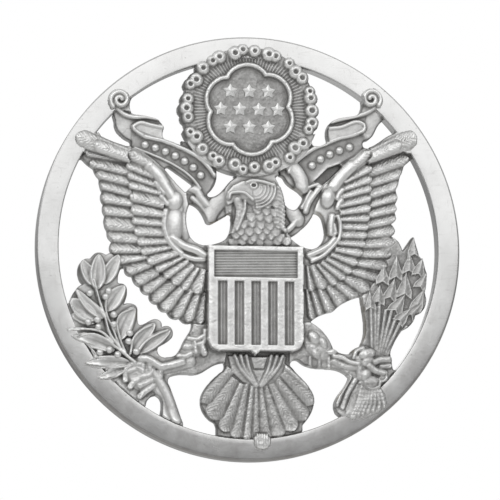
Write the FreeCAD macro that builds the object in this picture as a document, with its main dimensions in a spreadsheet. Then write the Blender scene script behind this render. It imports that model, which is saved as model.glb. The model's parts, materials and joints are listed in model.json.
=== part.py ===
import FreeCAD, Part
import math
import os

import Sketcher

# Round cap badge: a spread eagle with a shield, a branch and arrows, pierced and ringed, with a screw
# post, two locating pins, a keeper washer and a knurled clamp nut on the back.
# The badge stands upright. X is right, Z is up and the face looks along -Y. The origin is the centre
# of the ring on the badge's flat back, so the figures reach to -Y and the fastenings to +Y.
# The front is one striking. It is built as its figures, which meet face to face and share one back.

SIZES = {
    # ring
    "rim_diameter": 44.45,
    "rim_bore_diameter": 39.8,
    "rim_depth": 2.0,
    "rim_edge_radius": 0.4,
    "rim_inner_edge_radius": 0.15,
    # depth of the figures' fronts from the flat back
    "shield_depth": 2.6,
    "high_depth": 2.4,
    "upper_depth": 2.2,
    "middle_depth": 1.8,
    "low_depth": 1.5,
    # glory disc
    "glory_width": 14.9,
    "glory_height": 13.9,
    "glory_centre_z": 14.55,
    "cloud_width": 1.5,
    "cord_width": 0.4,
    "cusp_radius": 4.3,
    "lobe_radius": 4.95,
    "glory_ray_floor": 1.9,
    "glory_field_floor": 1.7,
    "star_depth": 0.35,
    "star_radius": 0.58,
    # shield
    "shield_left": -4.4,
    "shield_right": 5.65,
    "shield_top": 0.2,
    "shield_foot": -10.8,
    "shield_floor": 2.25,
    "shield_corner": 1.2,
    "shield_point_half_width": 0.5,
    "shield_point_drop": 0.4,
    "shield_side_border": 0.65,
    "shield_top_border": 0.5,
    "shield_foot_border": 0.6,
    "crossbar_top": -3.15,
    "crossbar_height": 0.35,
    # small details
    "ribbon_hollow_floor": 0.5,
    "berry_radius": 0.32,
    # screw post
    "post_x": 0.65,
    "post_z": -5.1,
    "post_foot_radius": 3.0,
    "post_foot_height": 0.6,
    "post_shank_radius": 1.75,
    "post_length": 10.0,
    "post_end_chamfer": 0.4,
    # locating pins
    "pin_spacing": 21.4,
    "pin_z": 2.0,
    "pin_radius": 0.45,
    "pin_length": 4.0,
    "pin_point": 0.9,
    "pin_tip_radius": 0.1,
    # keeper washer
    "keeper_radius": 5.2,
    "keeper_bore_radius": 1.8,
    "keeper_thickness": 0.5,
    "keeper_front": 3.0,
    # clamp nut
    "nut_radius": 5.0,
    "nut_bore_radius": 1.8,
    "nut_height": 3.0,
    "nut_notch_count": 24,
    "nut_notch_radius": 0.4,
    "nut_notch_offset": 0.15,
    "nut_boss_radius": 3.2,
    "nut_boss_height": 0.6,
}

# The openings sawn right through, as outlines of strokes in the badge's (x, z). A stroke of one point
# is a straight line, of two points an arc and of more points a smooth curve.
PIERCINGS = {
    "upper_left": [
        [(-6.75, 18.3)],
        [(-6.8, 17.7), (-7.45, 16.6), (-7.7, 15.0), (-7.75, 13.55), (-7.35, 12.1), (-7.0, 10.9)],
        [(-7.1, 10.75)],
        [(-7.95, 11.0), (-8.9, 11.35)],
        [(-9.05, 12.0), (-8.95, 12.6), (-9.65, 13.35), (-10.85, 13.7), (-12.25, 13.95)],
        [(-12.5, 14.55), (-12.35, 15.45)],
        [(-10.15, 17.6), (-6.75, 18.9)],
    ],
    "volute_left": [
        [(-14.05, 13.1)],
        [(-13.9, 12.3), (-13.2, 11.5), (-12.45, 11.1)],
        [(-12.35, 10.7), (-12.8, 10.5)],
        [(-14.3, 11.0), (-15.5, 11.5)],
        [(-15.75, 11.95)],
        [(-15.0, 13.4), (-14.3, 14.0)],
    ],
    "slit_left": [
        [(-8.8, 8.15)],
        [(-8.6, 8.4), (-8.15, 8.3)],
        [(-7.05, 7.55), (-5.95, 6.75)],
        [(-5.85, 6.55), (-6.1, 6.35)],
        [(-6.65, 5.75)],
        [(-7.75, 6.9), (-8.8, 8.15)],
    ],
    "beak_side": [
        [(-3.4, 8.4)],
        [(-1.3, 7.45)],
        [(-2.1, 6.85), (-2.8, 6.0), (-3.5, 5.45), (-4.1, 5.35)],
        [(-4.3, 5.5), (-4.1, 5.85)],
        [(-3.5, 6.8), (-3.4, 8.4)],
    ],
    "throat_side": [
        [(-6.1, 4.65)],
        [(-5.6, 4.45), (-4.9, 3.75), (-4.4, 2.7)],
        [(-4.15, 2.55), (-3.8, 2.6)],
        [(-2.9, 3.1), (-2.1, 3.6)],
        [(-1.8, 3.55), (-1.8, 3.2)],
        [(-1.85, 1.95), (-2.3, 1.05), (-3.3, 0.5), (-4.8, 0.3), (-5.8, 0.75), (-6.45, 1.85), (-6.1, 4.65)],
    ],
    "wing_left_side": [
        [(-17.4, 9.15)],
        [(-16.8, 8.55), (-16.2, 8.15)],
        [(-16.0, 7.6), (-15.6, 7.15)],
        [(-15.55, 6.45), (-15.3, 5.75)],
        [(-15.45, 5.1), (-15.15, 4.45)],
        [(-15.25, 3.8), (-15.0, 3.25)],
        [(-15.05, 2.35), (-14.75, 1.65)],
        [(-14.7, 1.1), (-14.25, 0.55)],
        [(-14.5, -0.05), (-14.35, -0.6)],
        [(-14.95, -0.9)],
        [(-15.5, -0.65), (-16.5, -1.3)],
        [(-17.5, -1.65), (-17.8, -2.5), (-17.3, -3.95)],
        [(-17.9, -4.4), (-18.35, -5.1), (-18.75, -6.05)],
        [(-19.4, -6.05)],
        [(-20.4, 0.25), (-18.3, 9.0)],
    ],
    "branch_side": [
        [(-13.3, -2.25)],
        [(-12.9, -2.2)],
        [(-12.75, -2.8), (-12.1, -3.05)],
        [(-11.85, -3.75), (-11.25, -4.15)],
        [(-11.05, -4.7), (-10.3, -4.9)],
        [(-10.15, -5.65), (-9.45, -5.9)],
        [(-9.2, -6.5), (-8.45, -6.7)],
        [(-8.05, -7.3), (-7.15, -7.35)],
        [(-6.75, -7.8), (-5.9, -7.8)],
        [(-5.95, -8.4), (-6.65, -9.6), (-7.35, -10.95), (-7.95, -11.4)],
        [(-8.75, -11.5)],
        [(-9.45, -11.05), (-9.45, -10.45)],
        [(-8.55, -9.9), (-7.95, -9.3), (-8.0, -8.55), (-9.1, -8.35)],
        [(-9.3, -7.65), (-9.75, -7.5), (-10.75, -7.95), (-11.45, -8.15)],
        [(-11.6, -7.2), (-11.75, -6.15), (-12.35, -5.9), (-13.1, -6.05)],
        [(-12.7, -4.95), (-12.8, -4.15), (-13.65, -3.85)],
        [(-13.6, -2.9), (-13.3, -2.25)],
    ],
    "stem_side": [
        [(-2.55, -11.95)],
        [(-2.45, -12.25), (-2.9, -12.95)],
        [(-4.4, -14.5), (-4.95, -15.7), (-4.65, -17.15), (-3.5, -18.2)],
        [(-3.3, -18.75), (-3.5, -19.9)],
        [(-5.2, -19.9), (-6.9, -19.3)],
        [(-6.85, -18.35)],
        [(-7.45, -16.55), (-8.25, -14.4)],
        [(-8.4, -13.8), (-7.95, -13.4)],
        [(-6.85, -13.2), (-5.2, -13.15), (-3.9, -12.4), (-2.55, -11.95)],
    ],
    "butt_side": [
        [(-9.25, -17.9)],
        [(-9.05, -16.75), (-9.2, -15.8), (-9.7, -15.45)],
        [(-10.35, -15.75), (-10.75, -16.55)],
        [(-10.9, -17.2)],
        [(-9.25, -17.9)],
    ],
    "upper_right": [
        [(6.7, 17.65)],
        [(7.0, 18.5), (7.8, 18.9)],
        [(10.4, 17.6), (11.9, 16.1)],
        [(11.95, 14.9), (11.1, 14.1)],
        [(9.5, 13.85), (8.5, 13.25), (8.25, 12.4), (8.4, 11.5)],
        [(8.0, 11.1), (6.85, 10.95)],
        [(6.7, 11.4), (7.2, 12.85), (7.4, 14.05), (7.25, 15.85), (6.7, 17.65)],
    ],
    "volute_right": [
        [(14.15, 13.65)],
        [(14.3, 14.2)],
        [(15.4, 13.3), (15.7, 12.7)],
        [(15.25, 12.35)],
        [(14.25, 11.8), (13.15, 11.05), (12.3, 10.8)],
        [(12.05, 11.1), (12.3, 11.6)],
        [(12.95, 11.9), (13.45, 12.75), (14.15, 13.65)],
    ],
    "nape_side": [
        [(2.8, 7.5)],
        [(3.35, 7.75), (3.8, 7.45)],
        [(4.35, 6.75), (5.25, 6.15), (5.85, 5.5)],
        [(5.45, 4.7), (4.8, 4.1)],
        [(4.15, 4.3), (3.75, 4.9)],
        [(3.5, 5.9), (2.8, 7.5)],
    ],
    "breast_side": [
        [(6.9, 3.9)],
        [(7.6, 3.65), (8.0, 2.65), (8.1, 1.45), (7.5, 0.45), (6.7, 0.05)],
        [(5.45, 0.4), (4.35, 1.25)],
        [(5.35, 1.85), (6.4, 2.95), (6.9, 3.9)],
    ],
    "wing_right_side": [
        [(17.15, 9.6)],
        [(16.45, 9.0)],
        [(16.3, 8.45), (16.0, 7.85)],
        [(15.9, 7.25), (15.55, 6.45)],
        [(15.75, 5.7), (15.5, 4.9)],
        [(15.65, 4.45), (15.45, 4.05)],
        [(15.6, 3.45), (15.0, 2.85)],
        [(15.45, 2.4), (15.05, 1.55)],
        [(15.9, 0.95), (16.25, -0.05)],
        [(17.4, 1.6)],
        [(18.05, -0.7)],
        [(18.4, -0.7)],
        [(18.85, -2.4)],
        [(18.6, -4.35)],
        [(18.7, -5.45), (18.05, -6.55)],
        [(17.55, -6.7)],
        [(16.95, -7.9), (16.15, -8.35)],
        [(15.45, -9.4), (14.9, -10.55)],
        [(15.05, -11.45), (15.15, -12.5)],
        [(16.3, -12.4)],
        [(20.3, 0.0), (17.7, 10.2)],
    ],
    "arrow_side": [
        [(6.5, -7.6)],
        [(7.8, -6.75), (8.9, -6.45)],
        [(10.1, -5.5), (11.85, -4.8)],
        [(12.05, -6.15), (12.25, -7.6), (12.1, -9.3), (11.7, -10.1)],
        [(11.1, -10.35), (10.65, -10.9)],
        [(9.7, -10.8), (8.9, -10.35)],
        [(8.2, -9.0), (6.5, -7.6)],
    ],
    "tail_right_side": [
        [(4.35, -12.15)],
        [(4.65, -11.65), (5.45, -11.75)],
        [(6.9, -12.35), (8.7, -12.45), (10.6, -13.3)],
        [(9.9, -14.6), (9.1, -15.9), (9.2, -16.95)],
        [(9.0, -18.6)],
        [(7.4, -19.4), (5.6, -19.6)],
        [(5.65, -18.35)],
        [(6.6, -17.05), (6.9, -15.6), (6.05, -14.0), (4.35, -12.15)],
    ],
}

# The figures, front ones first: each is trimmed by those before it. An outline follows the figure only
# where it lies over a later one or over the rim. Elsewhere it runs on under its neighbours.
FIGURES = {
    "leg_left": ("high_depth", [
        [(-3.9, -9.5)],
        [(-3.9, -8.05)],
        [(-5.9, -7.95)],
        [(-7.7, -10.7)],
        [(-8.6, -11.1)],
        [(-9.5, -10.8)],
        [(-10.6, -11.0), (-11.4, -11.5)],
        [(-11.05, -12.05)],
        [(-9.65, -12.75), (-9.15, -13.4), (-8.35, -13.8)],
        [(-7.4, -13.9)],
        [(-5.0, -13.6)],
        [(-2.5, -12.1)],
        [(-2.2, -10.4)],
    ]),
    "leg_right": ("high_depth", [
        [(5.2, -9.5)],
        [(5.2, -7.55)],
        [(6.5, -7.6)],
        [(8.6, -8.6)],
        [(9.4, -9.9)],
        [(10.4, -10.2)],
        [(11.5, -9.9)],
        [(12.85, -10.25), (13.85, -10.85), (15.1, -11.1)],
        [(15.6, -11.8)],
        [(15.6, -13.2)],
        [(14.4, -14.0)],
        [(13.75, -14.5), (12.85, -14.8), (12.0, -14.3), (11.7, -13.5)],
        [(10.5, -13.35)],
        [(8.6, -13.1)],
        [(6.8, -13.0)],
        [(4.7, -12.1)],
        [(4.3, -11.8)],
        [(4.3, -10.4)],
    ]),
    "scroll_left": ("high_depth", [
        [(-14.2, 13.2)],
        [(-14.5, 14.0), (-14.9, 14.9), (-14.6, 16.2), (-13.6, 16.7), (-12.6, 16.3), (-12.2, 15.3)],
        [(-11.9, 14.6)],
        [(-8.4, 13.6)],
        [(-8.4, 11.3)],
        [(-10.55, 11.7), (-11.85, 12.15), (-12.7, 12.3), (-13.6, 11.8)],
        [(-14.3, 11.9)],
    ]),
    "scroll_right": ("high_depth", [
        [(14.2, 13.5)],
        [(14.2, 14.6), (14.0, 16.5), (12.8, 17.3), (11.7, 16.7), (11.5, 15.9)],
        [(11.1, 14.7)],
        [(7.9, 13.6)],
        [(7.9, 11.25)],
        [(9.9, 11.85), (11.3, 12.15), (12.0, 12.0), (12.5, 11.5)],
        [(13.6, 12.2)],
    ]),
    "leading_feather_left": ("high_depth", [
        [(-17.4, 9.75)],
        [(-18.15, 10.6), (-18.25, 11.4), (-17.6, 12.1), (-16.6, 12.1), (-16.0, 11.8)],
        [(-15.2, 12.1)],
        [(-12.4, 10.8)],
        [(-12.4, 9.7), (-12.75, 8.95)],
        [(-15.0, 9.4), (-17.4, 9.75)],
    ]),
    "leading_feather_right": ("high_depth", [
        [(17.15, 10.3)],
        [(17.75, 11.4), (17.5, 12.45), (16.6, 12.85), (15.5, 12.5)],
        [(14.6, 12.4)],
        [(12.5, 11.1)],
        [(12.95, 10.2), (13.0, 9.2)],
        [(15.0, 10.0), (17.15, 10.3)],
    ]),
    "tail_tip": ("high_depth", [
        [(0.45, -19.2)],
        [(0.45, -20.2)],
        [(1.35, -21.1), (2.25, -20.2)],
        [(2.25, -19.2)],
    ]),
    "branch_stem": ("high_depth", [
        [(-16.05, -4.5)],
        [(-15.6, -6.7), (-14.8, -8.8), (-13.6, -10.8), (-12.4, -12.2)],
        [(-11.9, -11.8)],
        [(-13.0, -10.4), (-14.2, -8.5), (-15.0, -6.5), (-15.65, -4.4)],
    ]),
    "branch_butt": ("high_depth", [
        [(-10.0, -12.7)],
        [(-9.95, -14.2), (-9.5, -15.6)],
        [(-9.7, -16.6)],
        [(-9.4, -18.4)],
        [(-6.6, -19.3)],
        [(-6.6, -17.5)],
        [(-7.8, -13.9)],
        [(-8.6, -13.2)],
    ]),
    "arrow_fletchings": ("high_depth", [
        [(10.7, -13.1)],
        [(12.5, -13.6)],
        [(14.3, -14.0)],
        [(14.6, -15.0), (14.1, -16.7), (12.8, -17.75), (11.1, -17.8), (9.9, -17.55), (9.25, -17.1)],
        [(8.7, -16.5)],
        [(8.8, -15.2)],
    ]),
    "eagle_head": ("high_depth", [
        [(-2.4, 6.6)],
        [(-1.0, 8.2)],
        [(3.1, 8.2)],
        [(3.3, 7.3)],
        [(4.1, 5.6)],
        [(4.0, 4.9)],
        [(2.05, 4.4), (0.15, 4.7), (-2.25, 4.5)],
        [(-2.55, 5.5), (-2.4, 6.6)],
    ]),
    "breast": ("upper_depth", [
        [(-2.3, 5.0)],
        [(-2.2, 4.2), (-2.15, 3.3)],
        [(-4.7, 1.2)],
        [(-4.7, -0.3)],
        [(6.0, -0.3)],
        [(6.0, 0.9)],
        [(4.6, 1.25)],
        [(3.95, 1.95), (3.65, 2.8), (3.6, 3.9), (4.05, 4.6)],
        [(3.9, 5.4)],
    ]),
    "wing_arm_left": ("upper_depth", [
        [(-10.0, 8.85)],
        [(-9.3, 8.55), (-8.7, 8.1)],
        [(-7.2, 7.0)],
        [(-6.5, 5.9)],
        [(-6.45, 5.2), (-6.3, 4.5)],
        [(-5.9, 3.6)],
        [(-5.2, 1.1)],
        [(-4.6, 0.5)],
        [(-4.0, 0.0)],
        [(-4.0, -1.8)],
        [(-6.5, -1.4), (-7.7, -0.8), (-8.5, 0.5), (-8.95, 2.2), (-8.85, 3.9), (-9.5, 6.3), (-10.35, 8.0)],
    ]),
    "wing_arm_right": ("upper_depth", [
        [(12.25, 10.75)],
        [(11.1, 9.8), (10.1, 8.85), (9.1, 7.85), (8.2, 7.0), (7.65, 6.5)],
        [(7.5, 5.6), (7.0, 4.4), (6.9, 3.8)],
        [(7.6, 1.6)],
        [(6.6, 0.4)],
        [(6.0, 0.4)],
        [(5.2, 0.0)],
        [(5.2, -1.2)],
        [(6.1, -1.35), (7.7, -1.25), (8.9, -0.6), (9.65, 0.7), (9.85, 3.0), (9.9, 6.0), (10.2, 7.2)],
        [(11.4, 8.4), (12.8, 9.3)],
        [(12.95, 10.2), (12.6, 10.75)],
    ]),
    "arrow_heads": ("upper_depth", [
        [(15.1, 1.45)],
        [(14.9, 0.1), (14.15, -1.1), (13.65, -2.5), (12.95, -3.65), (11.85, -4.85)],
        [(11.7, -5.9)],
        [(13.75, -5.85), (15.3, -7.3), (16.15, -8.4)],
        [(17.6, -8.0)],
        [(19.6, -5.5)],
        [(19.6, -1.0)],
        [(17.6, 2.4)],
        [(15.9, 1.9)],
    ]),
    "leaves_left": ("upper_depth", [
        [(-17.2, -3.95)],
        [(-16.5, -4.4), (-15.8, -4.65)],
        [(-15.3, -6.7), (-14.5, -8.7), (-13.3, -10.65), (-12.3, -11.9)],
        [(-13.2, -12.4), (-14.7, -12.75), (-16.2, -12.75), (-17.2, -12.35)],
        [(-16.7, -11.95), (-16.2, -11.8)],
        [(-16.6, -10.8), (-17.15, -10.15)],
        [(-18.0, -9.9), (-18.6, -9.4), (-19.1, -8.65)],
        [(-18.6, -8.6), (-18.15, -8.4)],
        [(-18.6, -7.2), (-19.0, -5.95)],
        [(-18.9, -4.6)],
    ]),
    "leaf_sprig": ("upper_depth", [
        [(-12.3, -12.05)],
        [(-13.6, -12.65), (-15.0, -13.1), (-16.2, -14.0)],
        [(-15.2, -14.35), (-13.9, -14.1), (-13.3, -13.5)],
    ]),
    "leaves_top": ("middle_depth", [
        [(-14.5, -0.3)],
        [(-14.35, -0.65), (-13.75, -1.2), (-13.3, -2.25)],
        [(-13.1, -3.6)],
        [(-13.7, -3.8)],
        [(-14.8, -4.3), (-15.7, -4.65), (-16.5, -4.4), (-17.4, -3.9)],
        [(-18.3, -2.5)],
        [(-17.0, -0.6)],
    ]),
    "leaves_right": ("middle_depth", [
        [(-15.7, -4.6)],
        [(-14.8, -4.1), (-13.6, -3.5)],
        [(-12.2, -3.7)],
        [(-12.1, -5.5)],
        [(-10.9, -7.4)],
        [(-9.6, -7.0)],
        [(-7.4, -8.2)],
        [(-7.4, -9.6)],
        [(-9.2, -10.4)],
        [(-9.8, -11.4)],
        [(-11.1, -11.9)],
        [(-12.3, -11.9)],
        [(-13.3, -10.65), (-14.5, -8.7), (-15.3, -6.7), (-15.7, -4.6)],
    ]),
    "leaf_curls": ("middle_depth", [
        [(-10.6, -11.5)],
        [(-12.6, -11.6)],
        [(-15.0, -12.5)],
        [(-15.4, -13.2)],
        [(-14.7, -14.7)],
        [(-10.9, -17.6)],
        [(-10.4, -16.2)],
        [(-9.5, -15.7)],
        [(-9.3, -12.6)],
    ]),
    "coverts_left": ("middle_depth", [
        [(-12.5, 10.55)],
        [(-10.75, 9.5), (-9.9, 8.8)],
        [(-9.2, 7.8)],
        [(-8.3, 5.0)],
        [(-8.3, 1.5)],
        [(-6.3, -0.9)],
        [(-4.0, -1.3)],
        [(-4.0, -4.5)],
        [(-5.5, -4.5), (-7.3, -3.9), (-8.8, -3.1), (-10.0, -1.6), (-11.1, -0.2), (-11.7, 1.9),
         (-12.1, 4.9), (-12.5, 7.9), (-12.55, 9.6)],
    ]),
    "coverts_right": ("middle_depth", [
        [(12.95, 9.9)],
        [(12.85, 7.9), (12.6, 5.7), (12.4, 3.3), (12.1, 0.9), (11.2, -1.4), (9.4, -3.2), (7.2, -4.15),
         (5.2, -4.1)],
        [(5.2, -1.1)],
        [(8.2, -0.5)],
        [(9.4, 1.2)],
        [(9.4, 6.5)],
        [(11.4, 9.0)],
    ]),
    "ribbon_left": ("middle_depth", [
        [(-9.2, 12.1)],
        [(-7.3, 11.3)],
        [(-5.0, 10.6)],
        [(-2.9, 9.0)],
        [(-2.9, 7.2)],
        [(-4.15, 5.6)],
        [(-4.8, 5.45), (-5.7, 5.5), (-6.65, 5.75)],
        [(-7.2, 6.8)],
        [(-8.6, 8.0)],
        [(-10.75, 9.3)],
        [(-12.7, 10.6)],
        [(-13.3, 11.6)],
        [(-12.7, 12.5)],
    ]),
    "ribbon_right": ("middle_depth", [
        [(8.2, 12.0)],
        [(7.0, 11.3)],
        [(5.6, 11.1)],
        [(3.0, 8.9)],
        [(3.4, 7.3)],
        [(5.5, 5.5)],
        [(5.8, 5.7)],
        [(6.25, 6.1), (7.0, 6.45), (7.9, 6.45)],
        [(10.5, 8.9)],
        [(12.3, 10.6)],
        [(12.5, 11.3)],
        [(12.3, 12.2)],
        [(11.0, 12.4)],
    ]),
    "arrow_shafts": ("middle_depth", [
        [(11.8, -5.5)],
        [(11.8, -9.0)],
        [(11.4, -9.9)],
        [(12.5, -11.0)],
        [(14.9, -11.4)],
        [(15.5, -10.5)],
        [(16.5, -8.6)],
        [(15.6, -7.2)],
        [(14.6, -5.5)],
    ]),
    "primaries_left": ("low_depth", [
        [(-17.9, 9.9)],
        [(-16.0, 10.3)],
        [(-12.2, 9.6)],
        [(-11.6, 7.0)],
        [(-11.2, 2.0)],
        [(-9.7, -0.9)],
        [(-7.2, -3.4)],
        [(-4.0, -4.1)],
        [(-4.0, -8.3)],
        [(-5.9, -8.3)],
        [(-7.0, -8.3)],
        [(-8.6, -7.4)],
        [(-11.6, -4.6)],
        [(-12.9, -3.0)],
        [(-13.9, -2.0)],
        [(-14.6, -0.9)],
        [(-15.3, 0.2)],
        [(-16.2, 5.0)],
        [(-18.0, 8.6)],
    ]),
    "primaries_right": ("low_depth", [
        [(12.7, 9.6)],
        [(14.0, 10.2)],
        [(17.6, 10.8)],
        [(17.7, 9.2)],
        [(16.4, 7.0)],
        [(16.2, 2.0)],
        [(15.3, 1.5)],
        [(14.6, -2.0)],
        [(12.2, -5.0)],
        [(10.4, -6.3)],
        [(7.8, -7.5)],
        [(6.5, -7.8)],
        [(5.2, -7.8)],
        [(5.2, -3.8)],
        [(7.2, -3.6)],
        [(10.6, -1.2)],
        [(12.0, 4.0)],
    ]),
    "ribbon_tail_left": ("low_depth", [
        [(-6.8, 5.95)],
        [(-5.0, 5.9)],
        [(-2.8, 6.3)],
        [(-1.9, 6.2)],
        [(-1.6, 3.9)],
        [(-2.3, 3.1)],
        [(-4.3, 2.1)],
        [(-5.9, 4.0)],
        [(-6.7, 4.6)],
    ]),
    "ribbon_tail_right": ("low_depth", [
        [(5.4, 5.9)],
        [(7.2, 6.9)],
        [(8.1, 6.6)],
        [(7.4, 3.6)],
        [(6.8, 3.2)],
        [(4.7, 1.3)],
        [(3.7, 1.5)],
        [(3.2, 3.2)],
        [(3.6, 4.7)],
        [(4.9, 4.4)],
    ]),
    "tail_fan": ("low_depth", [
        [(-2.3, -10.4)],
        [(-2.6, -12.1)],
        [(-5.2, -14.6)],
        [(-5.6, -16.2)],
        [(-4.0, -18.4)],
        [(-3.9, -20.4)],
        [(6.3, -20.4)],
        [(6.3, -18.2)],
        [(7.6, -15.6)],
        [(6.6, -13.6)],
        [(4.4, -11.9)],
        [(4.4, -10.4)],
    ]),
}

# The figures that reach over the rim's front. The others stop at the rim's bore.
OVER_RIM = (
    "glory_disc", "scroll_left", "scroll_right", "leading_feather_left", "leading_feather_right",
    "tail_tip", "arrow_fletchings", "leaves_left", "leaf_sprig",
)

# A blackened hollow between the right ribbon and the wing's arm. It doesn't go through.
RIBBON_HOLLOW = [
    [(6.95, 7.2)],
    [(7.75, 6.85)],
    [(8.7, 7.65), (9.75, 8.75)],
    [(9.6, 9.05)],
    [(8.5, 8.55), (6.95, 7.2)],
]

BERRIES = [
    (-16.65, -5.0), (-15.0, -5.35), (-16.8, -8.0), (-15.85, -7.75), (-15.75, -8.5), (-14.15, -7.2),
    (-14.15, -8.2), (-12.5, -9.1), (-12.6, -9.95), (-15.6, -11.15), (-14.6, -10.85), (-13.75, -11.35),
    (-11.8, -11.0), (-14.7, -4.75),
]

# The stars: how many stand in each row, by the row's height above the glory's centre.
STAR_ROWS = {1.9: 3, 0.0: 4, -1.9: 3}
STAR_PITCH = 2.0
STAR_POINTS = 5
STAR_INNER_SHARE = 0.42
GLORY_LOBES = 6
FIRST_CUSP_ANGLE = 5.0

# The shield's upright stripes: how many, and where in its own width of the field each starts and ends.
STRIPE_COUNT = 5
STRIPE_START = 0.22
STRIPE_END = 0.78

# Lengths closer than this are the same.
SAME = 1e-6

doc = FreeCAD.newDocument("cap_badge")
sheet = doc.addObject("Spreadsheet::Sheet", "Sizes")
for row, (alias, value) in enumerate(SIZES.items(), start=1):
    sheet.set(f"A{row}", alias)
    sheet.set(f"B{row}", str(value))
    sheet.setAlias(f"B{row}", alias)
doc.recompute()

nodes = []


def size(alias):
    return float(sheet.get(alias))


def bind(thing, prop, expression):
    thing.setExpression(prop, expression)


def make_body(label):
    body = doc.addObject("PartDesign::Body", "Body")
    body.Label = label
    return body


def make_sketch(body, plane="XZ_Plane", level=None):
    """A sketch on one of the body's origin planes. level is how far in front of the back it lies."""
    sketch = body.newObject("Sketcher::SketchObject", "Sketch")
    support = next(part for part in body.Origin.OriginFeatures if part.Role == plane)
    sketch.AttachmentSupport = (support, [""])
    sketch.MapMode = "FlatFace"
    if level:
        bind(sketch, "AttachmentOffset.Base.z", f"Sizes.{level}")
    return sketch


def draw_outline(sketch, strokes):
    """Draws a closed outline: the first stroke gives the start, and a last line closes it if need be."""
    start = strokes[0][0]
    here = start
    for stroke in strokes[1:] + [[start]]:
        points = [FreeCAD.Vector(x, z, 0) for x, z in [here] + stroke]
        if (points[0] - points[-1]).Length > SAME:
            if len(points) == 2:
                sketch.addGeometry(Part.LineSegment(*points), False)
            elif len(points) == 3:
                sketch.addGeometry(Part.Arc(*points), False)
            else:
                curve = Part.BSplineCurve()
                curve.interpolate(points)
                sketch.addGeometry(curve, False)
        here = stroke[-1]


def draw_circle(sketch, x, z, radius):
    """Draws a circle whose radius follows an expression of the sheet's sizes."""
    centre = FreeCAD.Vector(x, z, 0)
    index = sketch.addGeometry(Part.Circle(centre, FreeCAD.Vector(0, 0, 1), 1.0), False)
    number = sketch.addConstraint(Sketcher.Constraint("Radius", index, 1.0))
    bind(sketch, f"Constraints[{number}]", radius)
    if x == 0 and z == 0:
        sketch.addConstraint(Sketcher.Constraint("Coincident", index, 3, -1, 1))
    return index


def pad(body, sketch, length, reverse=False, both_ways=False):
    """Pads a sketch. Forward is towards the badge's face, because the XZ plane's normal is -Y."""
    feature = body.newObject("PartDesign::Pad", "Pad")
    feature.Profile = sketch
    feature.Reversed = reverse
    feature.Midplane = both_ways
    bind(feature, "Length", length)
    return feature


def revolve(body, points):
    """Turns a closed profile of (radius, distance behind the back) about the Y axis."""
    sketch = make_sketch(body, "XY_Plane")
    draw_outline(sketch, [[point] for point in points])
    feature = body.newObject("PartDesign::Revolution", "Revolution")
    feature.Profile = sketch
    feature.ReferenceAxis = (sketch, ["V_Axis"])
    feature.Angle = 360
    return feature


def place(thing, x, z):
    bind(thing, "Placement.Base.x", x)
    bind(thing, "Placement.Base.z", z)


def combine(kind, label, **links):
    feature = doc.addObject(f"Part::{kind}", kind)
    feature.Label = label
    for name, value in links.items():
        setattr(feature, name, value)
    return feature


def name_node(feature, name):
    feature.Label = name
    nodes.append(feature)
    return feature


def make_rim():
    body = make_body("rim_ring")
    sketch = make_sketch(body)
    draw_circle(sketch, 0, 0, "Sizes.rim_diameter / 2")
    draw_circle(sketch, 0, 0, "Sizes.rim_bore_diameter / 2")
    ring = pad(body, sketch, "Sizes.rim_depth")
    doc.recompute()
    last = ring
    roundings = {"rim_edge_radius": "rim_diameter", "rim_inner_edge_radius": "rim_bore_diameter"}
    for radius, diameter in roundings.items():
        edge = front_circle(last.Shape, size(diameter) / 2, size("rim_depth"))
        last = body.newObject("PartDesign::Fillet", "Fillet")
        last.Base = (body.Group[-2], [edge])
        bind(last, "Radius", f"Sizes.{radius}")
        doc.recompute()
    return name_node(body, "rim_ring")


def front_circle(shape, radius, depth):
    """The name of the round edge of that radius at that depth in front of the back."""
    for number, edge in enumerate(shape.Edges, start=1):
        is_round = hasattr(edge.Curve, "Radius") and abs(edge.Curve.Radius - radius) < SAME
        box = edge.BoundBox
        if is_round and abs(box.YMin + depth) < SAME and abs(box.YMax + depth) < SAME:
            return f"Edge{number}"
    raise ValueError("no such edge")


def make_waste():
    """What the piercing saw takes away, and that together with everything outside the rim's bore."""
    saws = []
    for name, strokes in PIERCINGS.items():
        body = make_body(f"saw_{name}")
        sketch = make_sketch(body)
        draw_outline(sketch, strokes)
        pad(body, sketch, "4 * Sizes.shield_depth", both_ways=True)
        saws.append(body)
    piercings = combine("MultiFuse", "piercings", Shapes=saws)
    body = make_body("outside_bore")
    sketch = make_sketch(body)
    draw_circle(sketch, 0, 0, "Sizes.rim_diameter")
    draw_circle(sketch, 0, 0, "Sizes.rim_bore_diameter / 2")
    pad(body, sketch, "4 * Sizes.shield_depth", both_ways=True)
    return piercings, combine("MultiFuse", "waste", Shapes=[piercings, body])


def make_blank(name, depth, strokes):
    body = make_body(f"{name}_blank")
    sketch = make_sketch(body)
    draw_outline(sketch, strokes)
    pad(body, sketch, f"Sizes.{depth}")
    return body


def shield_outline():
    """A straight-sided shield with rounded lower corners and a small point at its foot."""
    left, right = size("shield_left"), size("shield_right")
    top, foot = size("shield_top"), size("shield_foot")
    middle = (left + right) / 2
    corner = size("shield_corner")
    half, drop = size("shield_point_half_width"), size("shield_point_drop")
    inset = corner * (1 - math.sqrt(0.5))
    return [
        [(left, top)],
        [(right, top)],
        [(right, foot + corner)],
        [(right - inset, foot + inset), (right - corner, foot)],
        [(middle + half, foot)],
        [(middle, foot - drop)],
        [(middle - half, foot)],
        [(left + corner, foot)],
        [(left + inset, foot + inset), (left, foot + corner)],
    ]


def glory_outline(shrink=0.0):
    """A closed oval as four smooth quarters."""
    wide = size("glory_width") / 2 - shrink
    tall = size("glory_height") / 2 - shrink
    centre = size("glory_centre_z")

    def point(turn):
        angle = math.radians(turn)
        return (wide * math.cos(angle), centre + tall * math.sin(angle))

    quarters = [[point(start + step) for step in range(15, 91, 15)] for start in range(0, 360, 90)]
    return [[point(0)]] + quarters


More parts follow.
